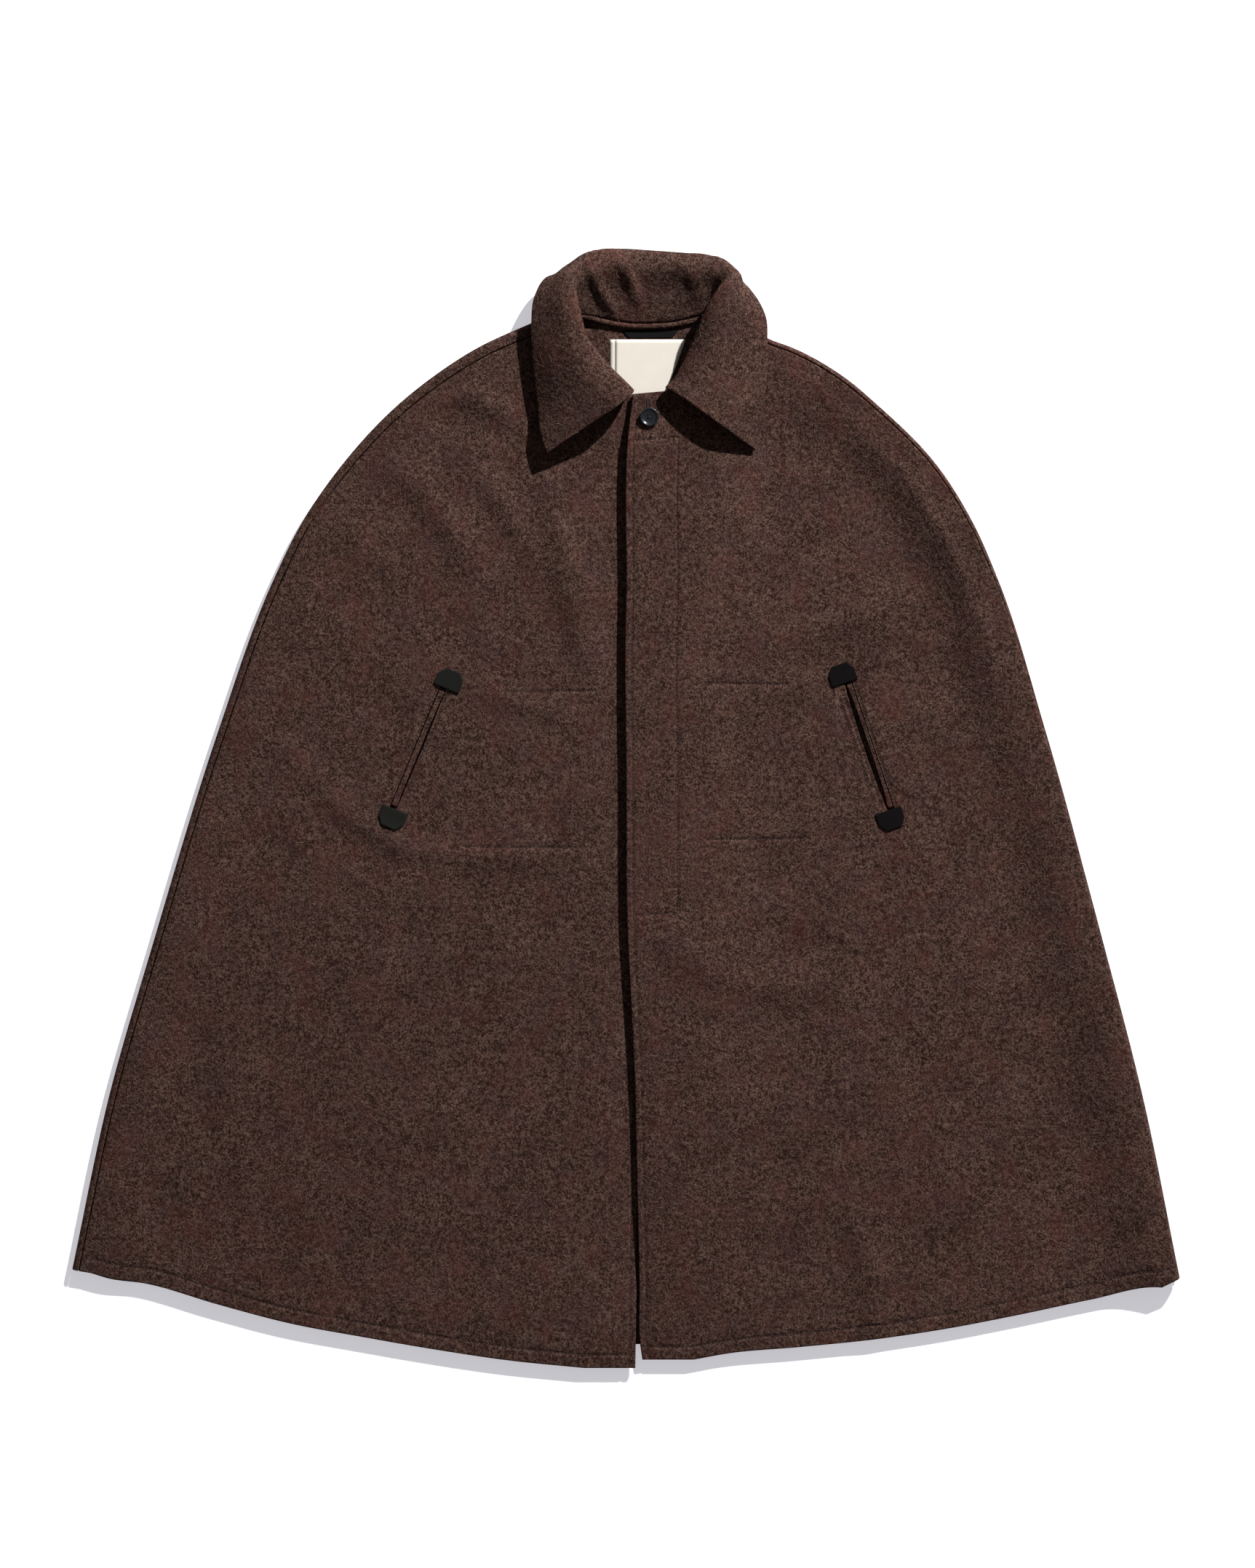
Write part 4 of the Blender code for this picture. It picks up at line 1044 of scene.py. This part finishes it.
def collar_grid():
    """The middle of the collar's cloth: rows from seam to outer edge, columns from right to left front end.

    Also gives the distances of the rows from the outer edge and of the columns from the nearer front end.
    """
    total = measured(trace(COLLAR, np.linspace(0, len(COLLAR) - 1, 600)))[-1]
    end = np.array([0, 0.4, 0.9, 1.6, 2.6, 3.8, 4.8, 5.4, 6, 6.6, 7.2, 8.2, 10]) / ROUTE_SHARE / total
    shares = merged(np.linspace(0, 1, COLLAR_COLUMNS), end, 1 - end, least=0.3 / total)
    stations = curve(COLLAR, shares)
    seam, crease, edge, raised = stations[:, :3], stations[:, 3:6], stations[:, 6:9], stations[:, 9:]
    to_seam, to_edge = unit(seam - crease), unit(edge - crease)
    along = unit(np.gradient(crease, axis=0))
    out = unit(np.cross(-unit(to_seam + to_edge + 1e-6), along))
    stand = np.linalg.norm(seam - crease, axis=1)
    radius = np.minimum(CREASE_RADIUS, 0.25 * stand)[:, None]
    inner = crease + to_seam * 1.3 * radius - out * radius
    outer = crease + to_edge * 1.3 * radius + out * radius
    from_edge = np.array([0, 0.3, 0.8, 1.6, 2.6, 3.8, 4.8, 5.4, 6, 6.6, 7.2, 8.2, 10])
    rest = np.linspace(0, 1, COLLAR_ROWS)[1:]
    rows = []
    for k in range(len(stations)):
        fall = (outer[k] + edge[k]) / 2 + (0, 0, raised[k, 0])
        section = [seam[k], (seam[k] + inner[k]) / 2, inner[k], crease[k], outer[k], fall, edge[k]]
        fine = trace(section, np.linspace(0, 6, 180))[::-1]
        length = measured(fine)[-1]
        lengths = np.concatenate([from_edge, from_edge[-1] + rest * (length - from_edge[-1])])
        rows.append(resampled(fine, lengths)[::-1])
    grid = np.swapaxes(np.array(rows), 0, 1)
    standing = np.sin(np.pi * np.clip(np.arange(len(grid)) / STAND_ROWS, 0, 1)) ** 0.6
    grid[..., 2] += ridge_height(STAND_CREASES, grid[..., 0], grid[..., 1]) * standing[:, None]
    grid[..., 2] = np.maximum(grid[..., 2], wall_of("collar") / 2 + 0.1)
    inset = np.full(grid.shape[0], FAR)
    inset[-len(from_edge):] = from_edge[::-1]
    return grid, inset, np.minimum(shares, 1 - shares) * total * ROUTE_SHARE


class CAPE_OT_back(bpy.types.Operator):
    """Makes the back, which lies flat and rolls up round both sides"""
    bl_idname = "cape.back"
    bl_label = "Back"

    def execute(self, context):
        """Makes the piece."""
        step = 2 * context.scene.cape.cloth.cell / MM
        v = panel_rows(step)
        grid = back_grid(v, step)
        half = wall_of("cloth") / 2
        columns = grid.shape[1]
        sides = np.full(columns, FAR)
        sides[:len(EDGE_STEPS)] = EDGE_STEPS
        sides[-len(EDGE_STEPS):] = EDGE_STEPS[::-1]
        ends = rounded(v * BODY_LENGTH) * rounded((1 - v) * BODY_LENGTH)
        share = rounded(sides)[None] * ends[:, None]
        flat = np.minimum(np.arange(columns), np.arange(columns)[::-1]) > BACK_ROLL + 2
        extra = hem_layer(v, columns, columns) * flat[None]
        under = np.where(flat[None], half, half * share)
        piece = add_mesh("back", *shell(*wall_faces(grid, half * share + extra, under)), wool())
        hand_over(piece, "back_panel")
        return {"FINISHED"}


class CAPE_OT_fronts(bpy.types.Operator):
    """Makes both fronts with their hems, dips of the stitch rows and hand slits"""
    bl_idname = "cape.fronts"
    bl_label = "Fronts"

    def execute(self, context):
        """Makes the pieces."""
        for side in SIDES:
            grid, up, down, _ = front_walls(side)
            flip = side == "right"
            piece = add_mesh("front_of_" + side, *shell(*wall_faces(grid, up, down, flip), flip), wool())
            cut_slit(piece, side)
            press_rows(piece, side)
            hand_over(piece, "front_" + side)
        return {"FINISHED"}


class CAPE_OT_layers(bpy.types.Operator):
    """Makes the facing and the fly's second layer behind the left front's edge"""
    bl_idname = "cape.layers"
    bl_label = "Facing and fly"

    def execute(self, context):
        """Makes the pieces."""
        grid, _, _, v = front_walls("left")
        near_edge = np.append(edge_columns(), FACING)
        band = grid[:, :len(near_edge)]
        step = wall_of("cloth") + GAP
        facing = band - normals(band) * step
        facing[..., 0] += EDGE_STEP * (1 - near_edge / FACING)
        fly = facing - (0, 0, step)
        fly[..., 0] += EDGE_STEP * (1 - near_edge / FACING)
        hem_share = context.scene.cape.cloth.hem_depth / MM / BODY_LENGTH
        y = facing[:, 0, 1]
        rows = {"facing": v < 1 - FACING_END * hem_share,
                "fly": (y < FLY_ENDS[1] + FLY_MARGIN) & (y > FLY_ENDS[0] - FLY_MARGIN)}
        half = wall_of("cloth") / 2
        for name, layer, node in (("facing", facing, "front_facing"), ("fly", fly, "fly_strip")):
            middle = layer[rows[name]]
            share = rounded(near_edge) * rounded(FACING - near_edge)
            piece = add_mesh(name, *shell(*wall_faces(middle, half * share, half * share)), wool())
            hand_over(piece, node)
        return {"FINISHED"}


class CAPE_OT_collar(bpy.types.Operator):
    """Makes the collar of doubled cloth with its stitched edge"""
    bl_idname = "cape.collar"
    bl_label = "Collar"

    def execute(self, context):
        """Makes the piece."""
        grid, inset, from_end = collar_grid()
        row = context.scene.cape.stitching.collar_inset / MM
        beside = np.minimum(inset[:, None], from_end[None])
        share = rounded(inset * COLLAR_ROUNDING)[:, None] * rounded(from_end * COLLAR_ROUNDING)[None]
        share[0] *= 0.7
        groove = np.where(beside > row, dip(inset - row)[:, None], dip(beside - row))
        groove = np.maximum(groove, dip(from_end - row)[None] * (inset > row)[:, None])
        groove[:STAND_ROWS - 3] = 0
        groove *= COLLAR_DIP
        half = wall_of("collar") / 2 * share
        piece = add_mesh("collar_cloth", *shell(*wall_faces(grid, half - groove, half)), wool())
        hand_over(piece, "collar")
        return {"FINISHED"}


class CAPE_OT_neck_trims(bpy.types.Operator):
    """Makes the binding over the back neck seam and the two bare labels below it"""
    bl_idname = "cape.neck_trims"
    bl_label = "Binding and labels"

    def execute(self, context):
        """Makes the pieces."""
        back_top = wall_of("cloth")
        route = curve(BINDING, np.linspace(0, 1, 60))
        angles = np.arange(BINDING_SIDES) * 2 * math.pi / BINDING_SIDES
        along = unit(np.gradient(route, axis=0))
        across = np.stack([-along[:, 1], along[:, 0]], axis=1)
        lift = back_top + GAP + BINDING_HEIGHT / 2 * (1 + np.sin(angles)) + route[:, 2:]
        rings = route[:, None, :2] + across[:, None] * np.cos(angles)[None, :, None] * BINDING_WIDTH / 2
        rings = np.append(rings, lift[..., None], axis=2)
        index = np.arange(rings.shape[0] * BINDING_SIDES).reshape(-1, BINDING_SIDES)
        turned = np.roll(index, -1, axis=1)
        faces = np.stack([index[:-1], turned[:-1], turned[1:], index[1:]], axis=-1).reshape(-1, 4).tolist()
        faces += [index[0, ::-1].tolist(), index[-1].tolist()]
        piece = add_mesh("binding", rings.reshape(-1, 3), faces, wool())
        turn_outwards(piece)
        hand_over(piece, "neck_binding")
        black = woven("black_satin", colours().dark_label)
        pale = woven("cream_satin", colours().pale_label)
        base = back_top + GAP
        upper, flat = self.label("label_at_neck", NECK_LABEL, base, NECK_LABEL_THICKNESS, black)
        hand_over(upper, "neck_label")
        lower, flat = self.label("care_label_back", CARE_LABEL, base, CARE_LABEL_THICKNESS, pale)
        hand_over(lower, "care_label")
        rise = base + CARE_COVER_RISE
        cover, _ = self.label("care_label_front", CARE_COVER, rise, CARE_COVER_THICKNESS, pale)
        hand_over(cover, "care_label")
        return {"FINISHED"}

    def label(self, name, corners, bottom, thickness, finish):
        """A thin label between four plan corners, with its grid."""
        corners = np.array(corners, float)
        u, v = np.linspace(0, 1, 24), np.linspace(0, 1, 18)
        top = corners[0, 0] + np.outer(u, corners[0, 1] - corners[0, 0])
        base = corners[1, 0] + np.outer(u, corners[1, 1] - corners[1, 0])
        plan = top[None] + (base - top)[None] * v[:, None, None]
        middle = np.full(plan.shape[:2] + (1,), bottom + thickness / 2)
        grid = np.append(plan, middle, axis=2)
        half = thin_rim(plan.shape[:2], 0.5) * thickness / 2
        return add_mesh(name, *shell(*wall_faces(grid, half, half)), finish), grid


class CAPE_OT_slit_trims(bpy.types.Operator):
    """Makes the welt in each hand slit and the leather tab at both its ends"""
    bl_idname = "cape.slit_trims"
    bl_label = "Slit trims"

    def execute(self, context):
        """Makes the pieces."""
        for side in SLITS:
            colour = getattr(colours(), "leather_" + side)
            leather = plain("suede_" + side, colour, 0.95, 900, 0.0003, Specular_IOR_Level=0.05)
            tree = surface_tree("front_of_" + side)
            _, near, far, _ = slit_lines(side, np.linspace(0.02, 0.98, 48))
            shares = np.array([0, 0.08, 0.2, 0.4, 0.6, 0.8, 0.92, 1])[:, None, None]
            plan = near[None] * (1 - shares) + far[None] * shares
            rise = -WELT_DROP - WELT_THICKNESS
            welt = laid_on("welt_of_" + side, plan, tree, WELT_THICKNESS, wool(), rise)
            hand_over(welt, "slit_welt_" + side)
            start, end, along, _ = slit_frame(side)
            for place, corner, away in (("top", start, -along), ("bottom", end, along)):
                tab = self.tab("tab_of_%s_%s" % (side, place), corner, away, tree, leather)
                hand_over(tab, "slit_tab_%s_%s" % (side, place))
        return {"FINISHED"}

    def tab(self, name, corner, away, tree, finish):
        """A leather tab with a flat side over a slit's end, narrowing away from it."""
        bpy.ops.mesh.primitive_grid_add(x_subdivisions=14, y_subdivisions=10, size=1)
        piece = bpy.context.object
        piece.name = piece.data.name = name
        across = np.array([-away[1], away[0]])
        for vertex in piece.data.vertices:
            share = vertex.co.y + 0.5
            half = TAB_LENGTH * min(1, 1 - (share - TAB_POINT) * TAB_TAPER)
            x, y = corner + away * (share * TAB_BREADTH - TAB_OVERLAP) - across * vertex.co.x * half
            vertex.co = Vector((x, y, highest_near(tree, x, y, TAB_REACH) + GAP)) * MM
        for kind, settings in (("SOLIDIFY", {"thickness": TAB_HEIGHT * MM, "offset": 1}),
                               ("BEVEL", {"width": TAB_ROUND * MM, "segments": 2, "limit_method": "ANGLE"})):
            modifier = piece.modifiers.new(kind.lower(), kind)
            for key, value in settings.items():
                setattr(modifier, key, value)
        apply_modifiers(piece)
        turn_outwards(piece)
        piece.data.materials.append(finish)
        piece.data.shade_smooth()
        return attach(piece, "root")


class CAPE_OT_button(bpy.types.Operator):
    """Makes the dished black button, its thread and the stitched buttonhole behind it"""
    bl_idname = "cape.button"
    bl_label = "Button and buttonhole"

    def execute(self, context):
        """Makes the pieces."""
        low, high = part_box("neck_button")
        middle = (low + high) / 2
        radius = (high.x - low.x) / 2
        thickness = high.z - low.z
        bpy.ops.mesh.primitive_cylinder_add(vertices=72, radius=radius, depth=thickness, location=middle)
        piece = context.object
        piece.name = piece.data.name = "button"
        bpy.ops.object.transform_apply(location=True)
        bpy.ops.object.mode_set(mode="EDIT")
        bpy.ops.mesh.select_all(action="DESELECT")
        bpy.ops.object.mode_set(mode="OBJECT")
        for face in piece.data.polygons:
            face.select = face.normal.z > 0.9
        bpy.ops.object.mode_set(mode="EDIT")
        bpy.ops.mesh.inset(thickness=BUTTON_RIM * MM)
        bpy.ops.mesh.inset(thickness=BUTTON_SLOPE * MM, depth=-SLOPE_DROP * MM)
        bpy.ops.mesh.inset(thickness=BUTTON_BOWL * MM, depth=-BOWL_DROP * MM)
        bpy.ops.object.mode_set(mode="OBJECT")
        bevel = piece.modifiers.new("rim", "BEVEL")
        bevel.width = BUTTON_ROUND * MM
        bevel.segments = 4
        bevel.angle_limit = math.radians(25)
        signs = (-HOLE_OFFSET, HOLE_OFFSET)
        offsets = [(x, y) for x in signs for y in signs]
        drills = [self.drill(middle + Vector((x * MM, y * MM, 0))) for x, y in offsets]
        for drill in drills:
            hole = piece.modifiers.new("hole", "BOOLEAN")
            hole.operation = "DIFFERENCE"
            hole.object = drill
        apply_modifiers(piece)
        for drill in drills:
            bpy.data.objects.remove(drill)
        piece.data.materials.clear()
        coat = {"Coat_Weight": 0.4, "Coat_Roughness": 0.15}
        piece.data.materials.append(plain("button_black", colours().button, 0.3, 300, 0.0001, **coat))
        pick(piece)
        bpy.ops.object.shade_smooth_by_angle(angle=math.radians(32))
        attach(piece, "root")
        hand_over(piece, "neck_button")
        centre = np.array(middle) / MM + (0, 0, THREAD_RISE)
        reaches = [np.array([HOLE_OFFSET, y, 0]) for y in (HOLE_OFFSET, -HOLE_OFFSET)]
        sewn("button_thread", [[centre - reach, centre + reach] for reach in reaches], BUTTON_THREAD)
        sewn("buttonhole_thread", self.purl(), PURL_THREAD)
        return {"FINISHED"}

    def drill(self, place):
        """A thin cylinder that cuts one thread hole."""
        bpy.ops.mesh.primitive_cylinder_add(vertices=16, radius=HOLE_RADIUS * MM, depth=12 * MM,
                                            location=place)
        return bpy.context.object

    def purl(self):
        """Short stitches side by side round the buttonhole, as pairs of points."""
        tree = surface_tree("front_of_left")
        top, bottom = np.array(BUTTONHOLE)
        along = unit(bottom - top)
        across = np.array([-along[1], along[0]])
        pairs = []
        for place in np.arange(0, math.dist(top, bottom) - PURL_HIDDEN, PURL_STEP):
            for side in (-1, 1):
                ends = [top + along * place + across * side * r for r in (PURL_INNER, PURL_OUTER)]
                pairs.append([(*p, top_of(tree, *p) + PURL_LIFT) for p in ends])
        for turn in np.linspace(0, math.pi, 7)[1:-1]:
            way = -along * math.sin(turn) + across * math.cos(turn)
            ends = [top + way * r for r in (PURL_TURN, PURL_OUTER)]
            pairs.append([(*p, top_of(tree, *p) + PURL_LIFT) for p in ends])
        return pairs


# Thread and hair

def tubes(paths, radii, sides):
    """Closed tubes along paths of points, all with the same count of points. radii has one value a point."""
    paths = np.asarray(paths, float)
    along = unit(np.gradient(paths, axis=1))
    across = unit(np.cross(along, (0.03, 0.02, 1.0)))
    up = np.cross(across, along)
    angles = np.arange(sides) * 2 * math.pi / sides
    ring = across[:, :, None] * np.cos(angles)[:, None] + up[:, :, None] * np.sin(angles)[:, None]
    rings = paths[:, :, None] + ring * np.broadcast_to(radii, paths.shape[:2])[..., None, None]
    count, steps = paths.shape[:2]
    index = np.arange(count * steps * sides).reshape(count, steps, sides)
    turned = np.roll(index, -1, axis=2)
    walls = np.stack([index[:, :-1], turned[:, :-1], turned[:, 1:], index[:, 1:]], axis=-1).reshape(-1, 4)
    caps = np.concatenate([index[:, 0, ::-1], index[:, -1]])
    return rings.reshape(-1, 3), walls.tolist() + caps.tolist()


def sewn(name, pairs, thickness=None):
    """A row of stitches from pairs of end points: threads whose ends sink into the cloth."""
    thread = (thickness or bpy.context.scene.cape.stitching.thread / MM) / 2
    pairs = np.asarray(pairs, float)
    shares = np.array([0, 0.14, 0.5, 0.86, 1.0])
    paths = pairs[:, :1] * (1 - shares)[:, None] + pairs[:, 1:] * shares[:, None]
    paths[..., 2] += np.array([-0.35, 0.0, 0.1, 0.0, -0.35])
    radii = thread * np.array([0.5, 0.95, 1, 0.95, 0.5])
    finish = plain("thread", colours().thread, 0.8, 1500, 0.0001)
    piece = add_mesh(name, *tubes(paths, radii, 5), finish)
    return piece


def stitch_pairs(points):
    """End points of the stitches along a row of surface points."""
    stitch = bpy.context.scene.cape.stitching.length / MM
    points = np.asarray(points, float)
    starts = np.arange(0.4 * stitch, measured(points)[-1] - stitch, stitch)
    first, last = resampled(points, starts), resampled(points, starts + STITCH_SHARE * stitch)
    return np.stack([first, last], axis=1) + (0, 0, STITCH_LIFT)


def ray_row(tree, start, end):
    """Surface points under a straight row from start to end."""
    shares = np.linspace(0, 1, 60)
    plan = np.outer(1 - shares, start) + np.outer(shares, end)
    return [(x, y, top_of(tree, x, y)) for x, y in plan]


class CAPE_OT_stitching(bpy.types.Operator):
    """Makes the topstitching of the edges, hems, fly, slits, pockets and collar"""
    bl_idname = "cape.stitching"
    bl_label = "Stitching"

    def execute(self, context):
        """Makes the pieces."""
        stitching = context.scene.cape.stitching
        inset = int(np.abs(edge_columns() - stitching.inset / MM).argmin())
        for side in SIDES:
            grid, up, down, v = front_walls(side)
            surface = wall_faces(grid, up, down, side == "right")[0]
            hem = int(np.abs((1 - v) * BODY_LENGTH - context.scene.cape.cloth.hem_depth / MM).argmin())
            rows = [surface[2:-3, inset], surface[hem, inset:-BARE_HEM]]
            if side == "left":
                y = grid[:, 0, 1]
                within = (y < FLY_ENDS[1]) & (y > FLY_ENDS[0])
                fly = len(edge_columns())
                rows.append(surface[within, fly])
                rows += [surface[int(np.abs(y - end).argmin()), inset:fly] for end in FLY_ENDS]
            tree = surface_tree("front_of_" + side)
            rows += [ray_row(tree, *row) for kind in sewn_rows(side) for row in kind]
            sewn("front_stitches_" + side, np.concatenate([stitch_pairs(row) for row in rows]))
        grid, from_edge, from_end = collar_grid()
        half = wall_of("collar") / 2 - COLLAR_DIP * stitching.dip / MM
        surface = wall_faces(grid, half, half)[0]
        row = int(np.abs(from_edge - stitching.collar_inset / MM).argmin())
        near = np.nonzero(from_end < stitching.collar_inset / MM + 0.3)[0]
        first = max(k for k in near if k < grid.shape[1] / 2)
        last = min(k for k in near if k > grid.shape[1] / 2)
        fall = surface[STAND_ROWS - 1:row + 1]
        rows = [surface[row, first:last + 1], fall[:, first], fall[:, last]]
        sewn("collar_stitches", np.concatenate([stitch_pairs(points) for points in rows]))
        return {"FINISHED"}


class CAPE_OT_nap(bpy.types.Operator):
    """Makes the pale hairs and the short fibres that stand out of the wool"""
    bl_idname = "cape.nap"
    bl_label = "Hairs and nap"

    def execute(self, context):
        """Makes the pieces."""
        cloth = context.scene.cape.cloth
        names = ("front_of_right", "front_of_left", "collar_cloth", "back", "binding")
        tree = surface_tree(*names)
        chance = np.random.default_rng(7)
        hair = plain("hair", colours().hair, 0.7, 90, 0.0001)
        fibre = plain("fibre", colours().wool_light, 0.9, 40, 0.0001)
        kinds = (("pale_hairs", cloth.kemp_hairs, *HAIR, hair),
                 ("short_fibres", cloth.nap_fibres, *FIBRE, fibre))
        for name, count, steps, lengths, radius, finish in kinds:
            paths = self.paths(tree, chance, count, steps, lengths)
            thin = radius * np.linspace(1, 0.6, steps)
            add_mesh(name, *tubes(paths, thin, 3), finish)
        return {"FINISHED"}

    def paths(self, tree, chance, count, steps, lengths):
        """Curved paths that lie on the cloth with their ends a little raised."""
        found = []
        while len(found) < count:
            place = np.array([chance.uniform(*sides) for sides in NAP_FIELD])
            if self.covered(*place):
                continue
            length = chance.triangular(lengths[0], lengths[0] + 0.2 * (lengths[1] - lengths[0]), lengths[1])
            heading = chance.uniform(0, 2 * math.pi)
            bend = chance.normal(0, 1.7) / steps
            raised = np.abs(np.linspace(-1, 1, steps)) ** 3 * chance.uniform(0, 0.7) + 0.1
            path = []
            for lift in raised:
                hit = hit_below(tree, *place)
                if hit is None or self.covered(*place) or (path and abs(hit.z - path[-1][2]) > HAIR_STEP):
                    break
                path.append((*place, hit.z + lift))
                place = place + length / (steps - 1) * np.array([math.cos(heading), math.sin(heading)])
                heading += bend
            if len(path) == steps:
                found.append(path)
        return found

    def covered(self, x, y):
        """Whether a plan point lies at the button, a label or a tab, where no hair grows."""
        (left, right), (low, high) = BARE_LABELS
        by_button = math.dist((x, y), BUTTONHOLE[0]) < BARE_BUTTON and y > BARE_BUTTON_LOW
        if by_button or (left < x < right and low < y < high):
            return True
        ends = [SLITS[side][end] for side in SLITS for end in ("top", "bottom")]
        return any(math.dist((x, y), end) < BARE_TAB for end in ends)


class CAPE_OT_stage(bpy.types.Operator):
    """Makes the pale floor, the light and the camera straight above"""
    bl_idname = "cape.stage"
    bl_label = "Floor, light and camera"

    def execute(self, context):
        """Makes the stage."""
        settings = context.scene.cape.stage
        floor = Shader("floor")
        floor.surface.inputs["Emission Strength"].default_value = 1.0
        floor.feed(floor.surface.inputs["Emission Color"], settings.floor_glow)
        finish = floor.finish((0.80, 0.80, 0.81), 1.0, Specular_IOR_Level=0.0)
        bpy.ops.mesh.primitive_plane_add(size=FLOOR_SIZE, location=(0, 0, -FLOOR_DROP))
        plane = context.object
        plane.name = "floor"
        plane.data.materials.append(finish)
        lamp = bpy.data.objects.new("key_light", bpy.data.lights.new("key_light", "POINT"))
        lamp.data.energy = settings.key
        lamp.data.shadow_soft_size = KEY_RADIUS
        lamp.location = Vector(KEY_DIRECTION).normalized() * settings.key_distance
        context.scene.collection.objects.link(lamp)
        self.sky(context, settings.fill)
        camera = bpy.data.objects.new("camera", bpy.data.cameras.new("camera"))
        camera.data.lens = SENSOR * settings.camera_height / max(settings.view_width, settings.view_height)
        camera.location = (*settings.view_middle, settings.camera_height)
        context.scene.collection.objects.link(camera)
        context.scene.camera = camera
        context.scene.view_settings.view_transform = "Standard"
        return {"FINISHED"}

    def sky(self, context, strength):
        """An even light from all round that looks pale to the camera."""
        world = bpy.data.worlds.new("sky")
        world.use_nodes = True
        context.scene.world = world
        tree = world.node_tree
        seen = tree.nodes.new("ShaderNodeLightPath").outputs["Is Camera Ray"]
        blend = tree.nodes.new("ShaderNodeMixShader")
        tree.links.new(seen, blend.inputs[0])
        for slot, level in ((1, strength), (2, 1.0)):
            light = tree.nodes.new("ShaderNodeBackground")
            light.inputs["Strength"].default_value = level
            light.inputs["Color"].default_value = (1, 1, 1, 1)
            tree.links.new(light.outputs[0], blend.inputs[slot])
        tree.links.new(blend.outputs[0], tree.nodes["World Output"].inputs[0])


OPERATORS = (CAPE_OT_back, CAPE_OT_fronts, CAPE_OT_layers, CAPE_OT_collar, CAPE_OT_neck_trims,
             CAPE_OT_slit_trims, CAPE_OT_button, CAPE_OT_stitching, CAPE_OT_nap, CAPE_OT_stage)


class CAPE_PT_panel(bpy.types.Panel):
    """The cape's settings and operators"""
    bl_label = "Wool cape"
    bl_space_type = "VIEW_3D"
    bl_region_type = "UI"
    bl_category = "Cape"

    def draw(self, context):
        """Lists the settings of each group and then the operators."""
        settings = context.scene.cape
        for group in (settings.cloth, settings.stitching, settings.colours, settings.stage):
            box = self.layout.box()
            box.label(text=group.bl_rna.description)
            for name in group.bl_rna.properties.keys():
                if name not in ("rna_type", "name"):
                    box.prop(group, name)
        for operator in OPERATORS:
            self.layout.operator(operator.bl_idname)


CLASSES = (CapeCloth, CapeStitching, CapeColours, CapeStage, CapeSettings, *OPERATORS, CAPE_PT_panel)


def register():
    """Adds the classes and the scene's settings."""
    for cls in CLASSES:
        bpy.utils.register_class(cls)
    bpy.types.Scene.cape = PointerProperty(type=CapeSettings)


def unregister():
    """Removes the settings and the classes."""
    del bpy.types.Scene.cape
    for cls in reversed(CLASSES):
        bpy.utils.unregister_class(cls)


def main():
    """Makes all pieces and the stage."""
    register()
    for thing in bpy.context.selected_objects:
        thing.select_set(False)
    bpy.ops.cape.back()
    bpy.ops.cape.fronts()
    bpy.ops.cape.layers()
    bpy.ops.cape.collar()
    bpy.ops.cape.neck_trims()
    bpy.ops.cape.slit_trims()
    bpy.ops.cape.button()
    bpy.ops.cape.stitching()
    bpy.ops.cape.nap()
    bpy.ops.cape.stage()


if __name__ == "__main__":
    main()
